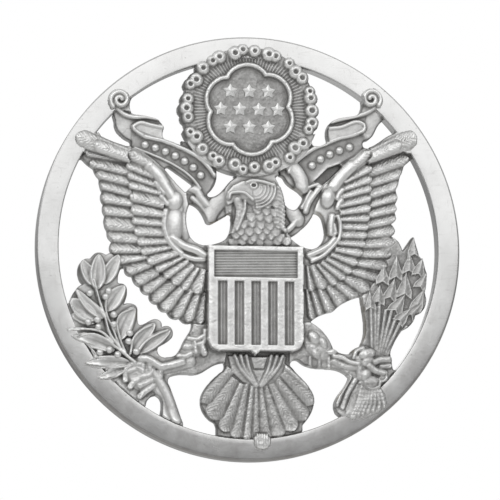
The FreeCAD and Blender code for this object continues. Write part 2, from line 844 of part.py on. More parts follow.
def lobed_outline(inset=0.0):
    """A cloud-like outline round the field: an arc for each lobe, from cusp to cusp."""
    centre = size("glory_centre_z")
    cusp_radius, lobe_radius = size("cusp_radius") - inset, size("lobe_radius") - inset
    step = 360 / GLORY_LOBES

    def point(radius, angle):
        return (radius * math.cos(math.radians(angle)), centre + radius * math.sin(math.radians(angle)))

    outline = [[point(cusp_radius, FIRST_CUSP_ANGLE)]]
    for lobe in range(GLORY_LOBES):
        middle = FIRST_CUSP_ANGLE + (lobe + 0.5) * step
        outline.append([point(lobe_radius, middle), point(cusp_radius, middle + step / 2)])
    return outline


def make_glory(rim):
    """The glory: a ring of cloud, a ring of rays, a lobed cord and a sunk field."""
    blank = make_blank("glory_disc", "high_depth", glory_outline())
    rays = make_body("ray_hollow")
    sketch = make_sketch(rays, level="glory_ray_floor")
    draw_outline(sketch, glory_outline(shrink=size("cloud_width")))
    draw_outline(sketch, lobed_outline())
    pad(rays, sketch, "Sizes.high_depth")
    field = make_body("field_hollow")
    sketch = make_sketch(field, level="glory_field_floor")
    draw_outline(sketch, lobed_outline(inset=size("cord_width")))
    pad(field, sketch, "Sizes.high_depth")
    tool = combine("MultiFuse", "glory_hollows", Shapes=[rim, rays, field])
    name_node(combine("Cut", "glory_disc", Base=blank, Tool=tool), "glory_disc")
    return blank


def star_outline(x, z):
    outer = size("star_radius")
    inner = STAR_INNER_SHARE * outer
    corners = []
    for corner in range(2 * STAR_POINTS):
        radius = inner if corner % 2 else outer
        angle = math.radians(90 + 180 / STAR_POINTS * corner)
        corners.append([(x + radius * math.cos(angle), z + radius * math.sin(angle))])
    return corners


def make_stars():
    """Ten small stars in rows of three, four and three, standing on the glory's field."""
    body = make_body("glory_stars")
    body.AllowCompound = True
    sketch = make_sketch(body, level="glory_field_floor")
    for height, count in STAR_ROWS.items():
        for number in range(count):
            x = (number - (count - 1) / 2) * STAR_PITCH
            draw_outline(sketch, star_outline(x, size("glory_centre_z") + height))
    pad(body, sketch, "Sizes.star_depth")
    name_node(body, "glory_stars")


def box_outline(left, right, low, high):
    return [[(left, low)], [(right, low)], [(right, high)], [(left, high)]]


def make_shield():
    """The shield: a raised border, a sunk upper panel and upright stripes cut below it."""
    blank = make_blank("shield", "shield_depth", shield_outline())
    side_border = size("shield_side_border")
    left, right = size("shield_left") + side_border, size("shield_right") - side_border
    top = size("shield_top") - size("shield_top_border")
    foot = size("shield_foot") + size("shield_foot_border")
    crossbar = size("crossbar_top")
    hollow = make_body("shield_hollows")
    hollow.AllowCompound = True
    sketch = make_sketch(hollow, level="shield_floor")
    draw_outline(sketch, box_outline(left, right, crossbar, top))
    pitch = (right - left) / STRIPE_COUNT
    for stripe in range(STRIPE_COUNT):
        start, end = left + (stripe + STRIPE_START) * pitch, left + (stripe + STRIPE_END) * pitch
        draw_outline(sketch, box_outline(start, end, foot, crossbar - size("crossbar_height")))
    pad(hollow, sketch, "Sizes.shield_depth")
    name_node(combine("Cut", "shield", Base=blank, Tool=hollow), "shield")
    return blank


def make_berries():
    """The berries, each a small round stud from the back to above the leaves."""
    body = make_body("branch_berries")
    body.AllowCompound = True
    sketch = make_sketch(body)
    for x, z in BERRIES:
        draw_circle(sketch, x, z, "Sizes.berry_radius")
    pad(body, sketch, "Sizes.high_depth")
    name_node(body, "branch_berries")
    return body


def touches(blank, other):
    return blank.Shape.BoundBox.intersect(other.Shape.BoundBox)


def make_figures(rim, piercings, waste):
    """Trims every figure by the piercings, by the rim and by the figures that lie over it."""
    before = [make_glory(rim), make_shield(), make_berries()]
    for name, (depth, strokes) in FIGURES.items():
        blank = make_blank(name, depth, strokes)
        doc.recompute()
        over = [other for other in before if touches(blank, other)]
        edges = [piercings, rim] if name in OVER_RIM else [waste]
        if name == "ribbon_right":
            over.append(make_ribbon_hollow())
        trimmings = combine("MultiFuse", f"{name}_trimmings", Shapes=edges + over)
        name_node(combine("Cut", name, Base=blank, Tool=trimmings), name)
        before.append(blank)


def make_ribbon_hollow():
    body = make_body("ribbon_hollow")
    sketch = make_sketch(body, level="ribbon_hollow_floor")
    draw_outline(sketch, RIBBON_HOLLOW)
    pad(body, sketch, "Sizes.middle_depth")
    return body


def make_post():
    """The screw post with its round foot, soldered to the flat behind the shield."""
    body = make_body("screw_post")
    foot, shank = size("post_foot_radius"), size("post_shank_radius")
    height, length, bevel = size("post_foot_height"), size("post_length"), size("post_end_chamfer")
    revolve(body, [
        (0, 0), (foot, 0), (foot, height), (shank, height), (shank, length - bevel),
        (shank - bevel, length), (0, length),
    ])
    place(body, "Sizes.post_x", "Sizes.post_z")
    name_node(body, "screw_post")


def make_pins():
    """Two pointed pins that keep the badge from turning on the cap."""
    radius, length, point = size("pin_radius"), size("pin_length"), size("pin_point")
    tip = size("pin_tip_radius")
    for name, side in (("locating_pin_left", -1), ("locating_pin_right", 1)):
        body = make_body(name)
        revolve(body, [(0, 0), (radius, 0), (radius, length - point), (tip, length), (0, length)])
        place(body, f"{side} * Sizes.pin_spacing / 2", "Sizes.pin_z")
        name_node(body, name)


def make_keeper():
    """The flat washer between the cap's cloth and the nut."""
    body = make_body("keeper_washer")
    near = size("keeper_front")
    far = near + size("keeper_thickness")
    bore, edge = size("keeper_bore_radius"), size("keeper_radius")
    revolve(body, [(bore, near), (edge, near), (edge, far), (bore, far)])
    place(body, "Sizes.post_x", "Sizes.post_z")
    name_node(body, "keeper_washer")


def make_nut():
    """The clamp nut: a round nut with a notched edge and a low boss behind it."""
    body = make_body("clamp_nut")
    near = size("keeper_front") + size("keeper_thickness")
    shoulder = near + size("nut_height") - size("nut_boss_height")
    back = near + size("nut_height")
    bore, boss, edge = size("nut_bore_radius"), size("nut_boss_radius"), size("nut_radius")
    revolve(body, [
        (bore, near), (edge, near), (edge, shoulder), (boss, shoulder), (boss, back), (bore, back),
    ])
    doc.recompute()
    sketch = make_sketch(body)
    draw_circle(sketch, edge + size("nut_notch_offset"), 0, "Sizes.nut_notch_radius")
    notch = body.newObject("PartDesign::Pocket", "Pocket")
    notch.Profile = sketch
    notch.Midplane = True
    bind(notch, "Length", "4 * Sizes.nut_height + 4 * Sizes.keeper_front")
    pattern = body.newObject("PartDesign::PolarPattern", "PolarPattern")
    pattern.Originals = [notch]
    pattern.Axis = (sketch, ["N_Axis"])
    pattern.Angle = 360
    bind(pattern, "Occurrences", "Sizes.nut_notch_count")
    body.Tip = pattern
    place(body, "Sizes.post_x", "Sizes.post_z")
    name_node(body, "clamp_nut")


def main():
    rim = make_rim()
    piercings, waste = make_waste()
    make_figures(rim, piercings, waste)
    make_stars()
    make_post()
    make_pins()
    make_keeper()
    make_nut()
    doc.recompute()
    for thing in doc.Objects:
        if "Invalid" in thing.State or "Error" in thing.State:
            raise RuntimeError(f"{thing.Label} failed: {thing.State}")
    os.makedirs("parts", exist_ok=True)
    for node in nodes:
        shape = node.Shape
        if shape.isNull() or not shape.isValid():
            raise RuntimeError(f"{node.Label} has no valid shape")
        shape.exportStep(f"parts/{node.Label}.step")
        print(f"{node.Label}: {len(shape.Solids)} solids, {shape.Volume:.2f} mm3")


main()
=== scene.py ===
import json
import math

import bmesh
import bpy
import numpy as np
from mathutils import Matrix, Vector


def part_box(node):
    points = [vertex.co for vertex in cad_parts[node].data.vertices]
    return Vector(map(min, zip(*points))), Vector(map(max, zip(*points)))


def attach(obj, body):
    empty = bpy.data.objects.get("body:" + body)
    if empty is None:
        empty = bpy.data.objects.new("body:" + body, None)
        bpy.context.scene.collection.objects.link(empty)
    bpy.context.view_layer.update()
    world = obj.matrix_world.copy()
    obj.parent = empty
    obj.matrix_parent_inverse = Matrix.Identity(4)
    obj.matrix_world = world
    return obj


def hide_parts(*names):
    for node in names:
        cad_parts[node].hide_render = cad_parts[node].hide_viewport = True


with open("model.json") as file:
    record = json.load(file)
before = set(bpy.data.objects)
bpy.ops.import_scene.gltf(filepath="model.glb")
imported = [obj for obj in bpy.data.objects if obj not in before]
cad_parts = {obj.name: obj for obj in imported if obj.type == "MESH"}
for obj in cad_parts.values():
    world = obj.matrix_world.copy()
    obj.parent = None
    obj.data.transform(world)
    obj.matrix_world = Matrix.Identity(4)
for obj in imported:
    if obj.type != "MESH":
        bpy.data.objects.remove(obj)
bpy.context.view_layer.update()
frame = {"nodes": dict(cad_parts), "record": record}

# The front's relief is one height field over the badge, in millimetres in front of the flat back.
# It is painted feature by feature, low ones first, and then cut into the CAD's figures.

MM = 0.001
STEP = 0.05
ROOT_BODY = "badge"
FRONT_SLOT = "oxidised_silver"

slots = {part["node"]: part["material_slot"] for part in frame["record"]["subparts"]}
figures = [node for node, slot in slots.items() if slot == FRONT_SLOT]
studs = ["branch_berries", "glory_stars"]
ring_low, ring_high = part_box("rim_ring")
RIM_RADIUS = ring_high.x / MM
RIM_DEPTH = -ring_low.y / MM


# ---------------------------------------------------------------- the lattice

def triangles(node):
    """The node's triangles in millimetres, as an array of (triangle, corner, xyz)."""
    mesh = frame["nodes"][node].data
    mesh.calc_loop_triangles()
    points = np.array([v.co for v in mesh.vertices]) / MM
    return points[np.array([t.vertices for t in mesh.loop_triangles])]


def solid_centres(node):
    """The (x, z) middles of a node's separate solids, left to right."""
    faces = triangles(node)
    _, corners = np.unique(np.round(faces.reshape(-1, 3), 3), axis=0, return_inverse=True)
    corners = corners.reshape(-1, 3)
    group, before = np.arange(corners.max() + 1), None
    while not np.array_equal(group, before):
        before = group.copy()
        low = group[corners].min(axis=1)
        for column in corners.T:
            np.minimum.at(group, column, low)
    solids = group[corners[:, 0]]
    centres = []
    for solid in np.unique(solids):
        points = faces[solids == solid].reshape(-1, 3)
        middle = (points.min(axis=0) + points.max(axis=0)) / 2
        centres.append((middle[0], middle[2]))
    return sorted(centres)


ring_points = triangles("rim_ring").reshape(-1, 3)
RIM_BORE = np.hypot(ring_points[:, 0], ring_points[:, 2]).min()
HALF = math.ceil(RIM_RADIUS) + 0.5
CELLS = round(2 * HALF / STEP)
EMPTY = -1


def paint_labels():
    """Which figure each cell of the lattice belongs to, from the triangles that face the front."""
    label = np.full((CELLS, CELLS), EMPTY)
    for number, node in enumerate(figures):
        faces = triangles(node)
        normal = np.cross(faces[:, 1] - faces[:, 0], faces[:, 2] - faces[:, 0])
        length = np.linalg.norm(normal, axis=1) + 1e-12
        for corners in faces[normal[:, 1] / length < -0.5]:
            fill_triangle(label, corners[:, [0, 2]], number)
    return label


def fill_triangle(label, corners, number):
    """Gives the cells whose middles lie in a triangle to a figure."""
    cell = (corners + HALF) / STEP
    low = np.maximum(np.floor(cell.min(axis=0) - 1).astype(int), 0)
    high = np.minimum(np.ceil(cell.max(axis=0) + 1).astype(int), CELLS)
    x, z = np.meshgrid(np.arange(low[0], high[0]) + 0.5, np.arange(low[1], high[1]) + 0.5)
    a, b, c = cell
    double = (b[0] - a[0]) * (c[1] - a[1]) - (c[0] - a[0]) * (b[1] - a[1])
    if abs(double) < 1e-9:
        return
    u = ((x - a[0]) * (c[1] - a[1]) - (c[0] - a[0]) * (z - a[1])) / double
    v = ((b[0] - a[0]) * (z - a[1]) - (x - a[0]) * (b[1] - a[1])) / double
    inside = (u >= -0.001) & (v >= -0.001) & (u + v <= 1.001)
    label[low[1]:high[1], low[0]:high[0]][inside] = number


def hide_studs(label):
    """Gives the cells under the separate studs to the figures round them."""
    hidden = np.isin(label, [figures.index(node) for node in studs])
    while hidden.any():
        before = hidden.copy()
        for axis, way in ((0, 1), (0, -1), (1, 1), (1, -1)):
            beside = np.roll(label, way, axis=axis)
            free = hidden & ~np.roll(before, way, axis=axis) & (beside != EMPTY)
            label[free] = beside[free]
            hidden &= ~free
        if (hidden == before).all():
            break


def lattice_points(label, rounds=8):
    """The lattice's corners, with those between two labels slid along until the outlines are smooth."""
    line = np.arange(CELLS + 1) * STEP - HALF
    x, z = np.meshgrid(line, line)
    home = np.stack([x, z], axis=-1)
    across = np.zeros((CELLS + 1, CELLS + 1), bool)
    upward = np.zeros((CELLS + 1, CELLS + 1), bool)
    across[1:-1, :-1] = label[1:] != label[:-1]
    upward[:-1, 1:-1] = label[:, 1:] != label[:, :-1]
    links = across.astype(int) + np.roll(across, 1, axis=1) + upward + np.roll(upward, 1, axis=0)
    points = home.copy()
    edge = links > 0
    for _ in range(rounds):
        total = np.zeros_like(points)
        total += across[..., None] * np.roll(points, -1, axis=1)
        total += np.roll(across[..., None] * points, 1, axis=1)
        total += upward[..., None] * np.roll(points, -1, axis=0)
        total += np.roll(upward[..., None] * points, 1, axis=0)
        middle = total[edge] / links[edge][:, None]
        points[edge] += 0.5 * (middle - points[edge])
    most = 0.7 * STEP
    return home + np.clip(points - home, -most, most)


label = paint_labels()
hide_studs(label)
X, Z = np.moveaxis(lattice_points(label), -1, 0)
R = np.hypot(X, Z)
COMMON_FLOOR = 1.4
FLOORS = {
    "primaries": 1.3, "coverts": 1.6, "wing_arm": 1.62, "leading_feather": 1.9, "tail": 1.25,
    "ribbon": 1.4, "ribbon_tail": 1.3, "scroll": 1.9, "leaves": 1.56, "leaf": 1.56, "branch": 1.6,
    "leg": 1.6, "arrow": 1.56, "eagle_head": 1.9, "breast": 1.65, "glory_disc": 1.9, "shield": 2.25,
}


def blur(values, sigma):
    """Gaussian blur with sigma in millimetres."""
    frequency_x = np.fft.rfftfreq(values.shape[1], STEP)
    frequency_z = np.fft.fftfreq(values.shape[0], STEP)
    falloff = np.exp(-2 * (math.pi * sigma) ** 2 * (frequency_z[:, None] ** 2 + frequency_x[None] ** 2))
    return np.fft.irfft2(np.fft.rfft2(values) * falloff, s=values.shape)


def floors():
    """The level that each figure's features stand on, by the longest name in FLOORS that it starts with."""
    level = np.full((CELLS + 1, CELLS + 1), COMMON_FLOOR)
    for number, node in enumerate(figures):
        stems = [stem for stem in FLOORS if node.startswith(stem)]
        if stems:
            level[:-1, :-1][label == number] = FLOORS[max(stems, key=len)]
    return level


H = floors()
# Extra darkness for each point: tarnish, and painted shade in the hollow under the right band.
DARKEN = np.zeros(X.shape)


# ---------------------------------------------------------------- carving tools

def window(points, reach):
    """The part of the lattice within reach of some points."""
    points = np.atleast_2d(points)
    low = np.floor((points.min(axis=0) - reach + HALF) / STEP).astype(int)
    high = np.ceil((points.max(axis=0) + reach + HALF) / STEP).astype(int) + 1
    low, high = np.clip(low, 0, CELLS), np.clip(high, 1, CELLS + 1)
    return slice(low[1], high[1]), slice(low[0], high[0])


def curve(points, steps=8):
    """A smooth line through the points."""
    points = [np.array(point, float) for point in points]
    if len(points) == 2:
        return np.array(points)
    ends = [2 * points[0] - points[1]] + points + [2 * points[-1] - points[-2]]
    line = []
    for a, b, c, d in zip(ends, ends[1:], ends[2:], ends[3:]):
        for t in np.arange(steps) / steps:
            line.append(0.5 * (
                2 * b + (c - a) * t + (2 * a - 5 * b + 4 * c - d) * t ** 2
                + (3 * b - a - 3 * c + d) * t ** 3
            ))
    return np.array(line + [points[-1]])


def near(line, x, z):
    """How far each place is from a line, and how far along it."""
    best = np.full(x.shape, 1e9)
    along = np.zeros(x.shape)
    run = 0.0
    for a, b in zip(line[:-1], line[1:]):
        step = b - a
        length = math.hypot(*step) + 1e-9
        t = np.clip(((x - a[0]) * step[0] + (z - a[1]) * step[1]) / length ** 2, 0, 1)
        dx, dz = x - a[0] - t * step[0], z - a[1] - t * step[1]
        distance = np.hypot(dx, dz)
        closer = distance < best
        best = np.where(closer, distance, best)
        along = np.where(closer, run + t * length, along)
        run += length
    return best, along


def strand(points, half, level, crown, taper=0.0, band=0.0):
    """A raised strand along a smooth line. band cuts rings across it at that pitch."""
    line = curve(points)
    where = window(line, half)
    distance, along = near(line, X[where], Z[where])
    total = np.hypot(*np.diff(line, axis=0).T).sum()
    width = half * (1 - taper * along / total)
    height = level + crown * np.sqrt(np.clip(1 - (distance / width) ** 2, 0, None))
    if band:
        height -= 0.25 * crown * (np.cos(2 * math.pi * along / band) > 0.75)
    H[where] = np.where(distance < width, np.maximum(H[where], height), H[where])


def groove(points, half, depth):
    """A round-bottomed groove along a smooth line."""
    line = curve(points)
    where = window(line, half)
    distance, _ = near(line, X[where], Z[where])
    H[where] -= depth * np.clip(1 - (distance / half) ** 2, 0, None)


def dome(centre, long, wide, turn, level, crown, power=0.5):
    """An oval bump whose long way lies at that angle."""
    angle = math.radians(turn)
    where = window(centre, max(long, wide))
    dx, dz = X[where] - centre[0], Z[where] - centre[1]
    u = (dx * math.cos(angle) + dz * math.sin(angle)) / long
    v = (dz * math.cos(angle) - dx * math.sin(angle)) / wide
    inside = np.clip(1 - u ** 2 - v ** 2, 0, None)
    H[where] = np.where(inside > 0, np.maximum(H[where], level + crown * inside ** power), H[where])


def lengthways(base, tip, reach):
    """The lattice within reach of a straight line: the window, how far along the line and how far to its
    left each place is, and the line's length."""
    base, tip = np.array(base, float), np.array(tip, float)
    where = window([base, tip], reach)
    length = np.hypot(*(tip - base))
    way = (tip - base) / length
    dx, dz = X[where] - base[0], Z[where] - base[1]
    return where, dx * way[0] + dz * way[1], dx * -way[1] + dz * way[0], length


BARB_PITCH = 0.4
BARB_DEPTH = 0.055


def feather(base, tip, half_base, half_tip, level, crown, lean=0.0, barb_depth=BARB_DEPTH, tuck=0.0):
    """A feather with a round tip: a crest that leans to one side, and slanting barbs whose pitch and depth
    wander. tuck sinks its base under the row before it."""
    where, t, u, length = lengthways(base, tip, max(half_base, half_tip))
    width = half_base + (half_tip - half_base) * np.clip(t / length, 0, 1)
    end = np.clip((t - length + half_tip) / half_tip, 0, 1)
    width = width * np.sqrt(np.clip(1 - end ** 2, 1e-6, 1))
    q = u / width
    inside = (np.abs(q) < 1) & (t > 0) & (t < length)
    body = 1 - np.abs(q) ** 2.5
    slope = 0.95 + lean * q
    wander = 1.4 * np.sin(4.7 * t + 2.9 * base[1] + 1.5 * q) + 0.9 * np.sin(9.1 * t + 6.0 * q)
    barbs = np.sin(2 * math.pi * (t - 1.1 * np.abs(q - 0.3 * lean) * width) / BARB_PITCH + wander)
    barbs = barbs * (0.7 + 0.3 * np.sin(3.3 * t + 4.1 * base[0]))
    body = body * (1 - tuck + tuck * np.clip(t / length, 0, 1))
    height = level + crown * body * slope + barb_depth * barbs * np.sqrt(np.clip(body, 0, None))
    H[where] = np.where(inside, height, H[where])


def feathers(edges, level, crown, lean, barb_depth=BARB_DEPTH):
    """A row of feathers, one between each two neighbouring edges of (inner x, z, outer x, z), that lap
    over the ones listed after them. Each is a little longer and wider than its gap."""
    inward, outward, widen = 0.25, 0.3, 1.16
    for number in reversed(range(len(edges) - 1)):
        (a_in, a_out), (b_in, b_out) = np.reshape(edges[number:number + 2], (2, 2, 2))
        base, tip = (a_in + b_in) / 2, (a_out + b_out) / 2
        way = (tip - base) / np.hypot(*(tip - base))
        side = np.array([-way[1], way[0]])
        half_base, half_tip = abs((a_in - b_in) @ side) / 2, abs((a_out - b_out) @ side) / 2
        feather(
            base - inward * way, tip + outward * way, widen * max(half_base, 0.18),
            widen * max(half_tip, 0.22), level + 0.04 * math.sin(3.7 * number),
            crown * (1 + 0.12 * math.sin(5.1 * number)), lean, barb_depth,
        )


def leaf(base, tip, half, level, crown, bow=0.0):
    """A pointed leaf with raised edges and a midrib. bow bends it to one side."""
    where, along, side, length = lengthways(base, tip, half + abs(bow))
    t = along / length
    u = side - bow * np.sin(math.pi * np.clip(t, 0, 1))
    width = half * np.sin(math.pi * np.clip(t, 0, 1) ** 0.85) ** 0.62 + 1e-6
    q = np.abs(u) / width
    inside = (q < 1) & (t > 0) & (t < 1)
    lip = np.exp(-((q - 0.78) / 0.2) ** 2)
    crease = np.exp(-(u / 0.13) ** 2)
    height = level + crown * (0.6 * (1 - q ** 8) + 0.4 * lip - 0.35 * crease * (1 - t))
    H[where] = np.where(inside, np.maximum(H[where], height), H[where])


def spiral(centre, start_radius, end_radius, start, turns, half, level, crown):
    """A strand wound inwards round a centre, from an angle in degrees."""
    points = []
    for t in np.linspace(0, 1, 25):
        radius = start_radius + (end_radius - start_radius) * t
        angle = math.radians(start + 360 * turns * t)
        points.append((centre[0] + radius * math.cos(angle), centre[1] + radius * math.sin(angle)))
    strand(points, half, level, crown)


def inside_polygon(points, x, z):
    """Which places lie inside a closed outline."""
    inside = np.zeros(x.shape, bool)
    for (ax, az), (bx, bz) in zip(points, points[1:] + points[:1]):
        crosses = ((az > z) != (bz > z)) & (x < (bx - ax) * (z - az) / (bz - az + 1e-12) + ax)
        inside ^= crosses
    return inside


def plate(points, level, slope=(0.0, 0.0)):
    """A flat raised area with a rounded edge. slope tips it: the height gained for each step of x and z."""
    where = window(points, 0.1)
    x, z = X[where], Z[where]
    inside = inside_polygon(points, x, z)
    line = np.array(points + points[:1], float)
    distance, _ = near(line, x, z)
    middle = np.mean(points, axis=0)
    height = level + slope[0] * (x - middle[0]) + slope[1] * (z - middle[1])
    height = height - 0.12 * np.clip(1 - distance / 0.15, 0, None) ** 2
    H[where] = np.where(inside, height, H[where])


def close_notch(points, name):
    """Gives a stray notch in the outline to the figure it cuts into."""
    middle = (np.arange(CELLS) + 0.5) * STEP - HALF
    x, z = np.meshgrid(middle, middle)
    label[inside_polygon(points, x, z) & (label == EMPTY)] = figures.index(name)


# ---------------------------------------------------------------- the relief

# The edges between neighbouring feathers, each as inner x, z, outer x, z.
PRIMARIES_LEFT = [
    (-12.7, 9.3, -16.9, 10.4), (-12.6, 8.6, -16.9, 9.3), (-12.4, 7.3, -15.9, 8.1),
    (-12.3, 6.2, -15.5, 6.95), (-12.2, 5.05, -15.3, 5.85), (-12.0, 4.05, -15.1, 4.45),
    (-12.0, 2.95, -15.05, 3.2), (-11.8, 1.5, -14.9, 1.65), (-11.6, 0.3, -14.4, 0.45),
    (-11.2, -0.75, -14.3, -0.85), (-10.6, -1.35, -13.6, -2.0), (-10.15, -2.15, -12.2, -3.1),
    (-9.4, -3.0, -11.3, -4.15), (-8.6, -3.5, -10.3, -5.0), (-7.6, -4.2, -9.45, -6.0),
    (-6.6, -4.4, -8.3, -6.9), (-5.8, -4.7, -7.0, -7.4), (-5.0, -4.9, -5.7, -7.6),
    (-4.45, -4.9, -4.5, -7.8),
]
COVERTS_LEFT = [
    (-10.3, 8.05, -12.7, 9.0), (-10.1, 7.0, -12.5, 7.95), (-9.6, 6.05, -12.4, 6.95),
    (-9.2, 5.3, -12.3, 5.95), (-9.0, 3.9, -12.1, 4.6), (-9.0, 3.0, -12.1, 3.2),
    (-9.0, 2.05, -11.9, 2.25), (-9.0, 1.0, -11.6, 1.05), (-8.6, 0.25, -11.3, 0.05),
    (-8.2, -0.3, -10.8, -1.0), (-7.4, -0.95, -10.0, -1.95), (-6.9, -1.3, -9.1, -2.65),
    (-6.3, -1.7, -8.3, -3.3), (-5.8, -2.2, -7.3, -4.0), (-5.2, -2.4, -6.3, -4.4),
    (-4.5, -2.6, -4.7, -4.8),
]
PRIMARIES_RIGHT = [
    (12.7, 9.1, 17.0, 10.7), (12.7, 7.65, 16.3, 8.95), (12.6, 6.5, 15.9, 7.6), (12.6, 5.3, 15.6, 6.35),
    (12.5, 4.3, 15.55, 5.15), (12.5, 3.3, 15.5, 4.0), (12.4, 2.2, 15.3, 2.85), (12.2, 1.25, 15.2, 1.5),
    (12.0, 0.2, 14.9, 0.35), (11.6, -0.8, 14.7, -0.85), (11.0, -1.6, 13.9, -2.2),
    (10.4, -2.4, 13.1, -3.3), (9.6, -3.0, 11.9, -4.6), (8.7, -3.5, 10.7, -5.2), (8.0, -3.9, 9.3, -6.2),
    (7.2, -4.2, 8.1, -6.7), (6.4, -4.3, 7.2, -7.0), (6.0, -4.5, 6.2, -7.1),
]
COVERTS_RIGHT = [
    (10.4, 7.6, 12.7, 9.25), (10.1, 6.9, 12.7, 8.1), (9.9, 6.05, 12.7, 7.0), (9.8, 5.25, 12.6, 6.05),
    (9.8, 4.35, 12.6, 5.0), (9.8, 3.6, 12.5, 3.95), (9.8, 2.95, 12.4, 2.95), (9.8, 2.1, 12.3, 2.05),
    (9.7, 1.2, 12.1, 1.2), (9.5, 0.4, 11.9, 0.25), (9.1, -0.25, 11.5, -0.75), (8.6, -0.75, 10.9, -1.75),
    (8.1, -1.2, 10.3, -2.55), (7.6, -1.6, 9.5, -3.15), (7.1, -1.8, 8.5, -3.65), (6.4, -1.9, 7.1, -4.1),
    (6.0, -2.0, 6.1, -4.2),
]


def carve_wings():
    """The outer rows, the inner rows over them, the two leading feathers a side and the bare arms."""
    feathers(PRIMARIES_LEFT, 1.25, 0.42, 0.6)
    feathers(PRIMARIES_RIGHT, 1.25, 0.42, -0.6)
    dome((15.0, 0.3), 1.5, 0.95, -48, 1.3, 0.22)
    feathers(COVERTS_LEFT, 1.55, 0.42, 0.55)
    feathers(COVERTS_RIGHT, 1.55, 0.42, -0.55)
    feather((-12.3, 9.35), (-18.2, 11.4), 0.75, 1.0, 1.9, 0.42, barb_depth=0.065)
    feather((12.4, 9.75), (17.9, 12.2), 0.75, 1.1, 1.9, 0.42, barb_depth=0.065)
    feather((-12.4, 9.25), (-16.3, 10.6), 0.6, 0.72, 2.08, 0.4, lean=0.3, barb_depth=0.05)
    feather((12.4, 9.6), (16.0, 11.25), 0.6, 0.72, 2.08, 0.4, lean=-0.3, barb_depth=0.05)
    strand([(-12.6, 9.7), (-11.2, 8.95), (-10.0, 8.0), (-9.0, 6.6), (-8.2, 5.2), (-7.7, 3.9)],
           0.85, 1.62, 0.25)
    feather((-10.3, 8.5), (-12.7, 9.75), 0.55, 0.7, 1.75, 0.42, barb_depth=0.05)
    strand([(-10.5, 8.4), (-9.6, 7.6), (-8.9, 6.6)], 0.62, 1.75, 0.45)
    strand([(-9.1, 6.8), (-8.5, 5.9), (-8.0, 5.1)], 0.55, 1.75, 0.45)
    dome((-7.8, 4.75), 1.05, 0.8, 80, 1.75, 0.5)
    strand([(12.6, 10.2), (11.2, 9.1), (9.9, 7.9), (8.9, 6.5), (8.3, 5.4)], 0.75, 1.62, 0.25)
    feather((10.5, 8.5), (12.8, 10.4), 0.5, 0.6, 1.75, 0.42, barb_depth=0.05)
    strand([(10.8, 8.8), (9.8, 7.8), (8.9, 6.6)], 0.62, 1.75, 0.45)
    dome((8.3, 5.4), 1.1, 0.74, 78, 1.75, 0.55)
    for points in (
        [(-9.8, 6.7), (-9.4, 6.1), (-8.9, 5.6)], [(-9.2, 5.2), (-8.9, 4.9), (-8.6, 4.5)],
        [(9.85, 6.3), (9.5, 5.9), (9.3, 5.4)], [(9.75, 5.2), (9.5, 4.9), (9.3, 4.4)],
    ):
        strand(points, 0.3, 1.7, 0.35)
    carve_shoulders()
    for node in ("wing_arm_left", "wing_arm_right"):
        DARKEN[:-1, :-1][label == figures.index(node)] -= 0.12


def carve_shoulders():
    """The smooth upper arms that curl in behind the shield."""
    dome((-7.8, 2.3), 1.9, 1.0, 88, 1.62, 0.55)
    dome((-6.7, 2.2), 1.5, 0.6, 95, 1.55, 0.4)
    strand([(-8.75, 3.7), (-8.9, 2.2), (-8.55, 0.9), (-7.9, 0.0), (-7.1, -0.7)], 0.36, 1.72, 0.38)
    strand([(-8.0, 0.9), (-6.9, 0.15), (-5.6, -0.3), (-4.75, -0.8)], 0.46, 1.72, 0.48)
    strand([(-4.7, -1.25), (-5.9, -1.2), (-7.1, -0.8)], 0.32, 1.65, 0.4)
    strand([(8.75, 3.5), (8.6, 2.6), (8.6, 1.7)], 0.38, 1.75, 0.45)
    strand([(9.35, 3.5), (9.62, 2.6), (9.5, 1.3), (8.8, 0.35), (7.8, -0.6), (6.6, -1.25)], 0.26, 1.7, 0.38)
    strand([(8.95, 1.1), (8.3, 0.4), (7.3, -0.2), (6.25, -0.65)], 0.34, 1.75, 0.45)
    strand([(8.95, 2.6), (9.1, 1.7), (8.7, 1.55)], 0.2, 1.8, 0.3)
    strand([(6.3, -0.8), (6.6, -1.0), (7.6, -0.75)], 0.2, 1.75, 0.3)


def carve_body():
    """The breast: a rounded base, rows of scales, and the neck's strands at each side."""
    plate([(-2.2, 0.2), (-1.85, 3.2), (-1.7, 5.0), (0.2, 5.6), (3.4, 6.2), (3.9, 4.6), (3.6, 2.4),
           (4.3, 0.2)], 1.6)
    dome((1.2, 3.0), 3.6, 2.5, 90, 1.6, 0.3)
    scale_rows = (
        (0.5, -1.6, 4.2), (1.05, -1.9, 4.0), (1.65, -1.7, 3.6), (2.3, -1.1, 3.3), (3.0, 0.2, 3.1),
        (3.7, 0.5, 3.0), (4.4, 0.9, 2.9),
    )
    pitch = 0.92
    for row, (z, left, right) in enumerate(scale_rows):
        shift = pitch / 2 * (row % 2) + 0.1 * math.sin(2.3 * row)
        for x in np.arange(left + shift, right, pitch):
            drop, swell = 0.14 * math.sin(5 * x + 2 * row), 0.06 * math.sin(7 * x + row)
            feather((x, z + 0.62 + drop), (x, z - 0.32 + drop), 0.56, 0.52 + swell,
                    1.78 + 0.035 * row, 0.19, barb_depth=0.0, tuck=0.8)
    strand([(-1.25, 5.0), (-0.95, 4.2), (-1.0, 3.2), (-1.3, 2.1)], 0.5, 1.75, 0.3)
    strand([(-0.45, 4.9), (-0.5, 4.0), (-0.9, 2.8), (-1.3, 1.9)], 0.2, 1.9, 0.25)
    for z in np.arange(2.6, 6.6, 0.42):
        strand([(2.75, z + 0.1), (3.2, z - 0.05), (3.6, z - 0.35)], 0.23, 1.88, 0.2)
    strand([(2.8, 2.7), (3.3, 2.3), (3.8, 1.9)], 0.23, 1.85, 0.2)
    carve_head()


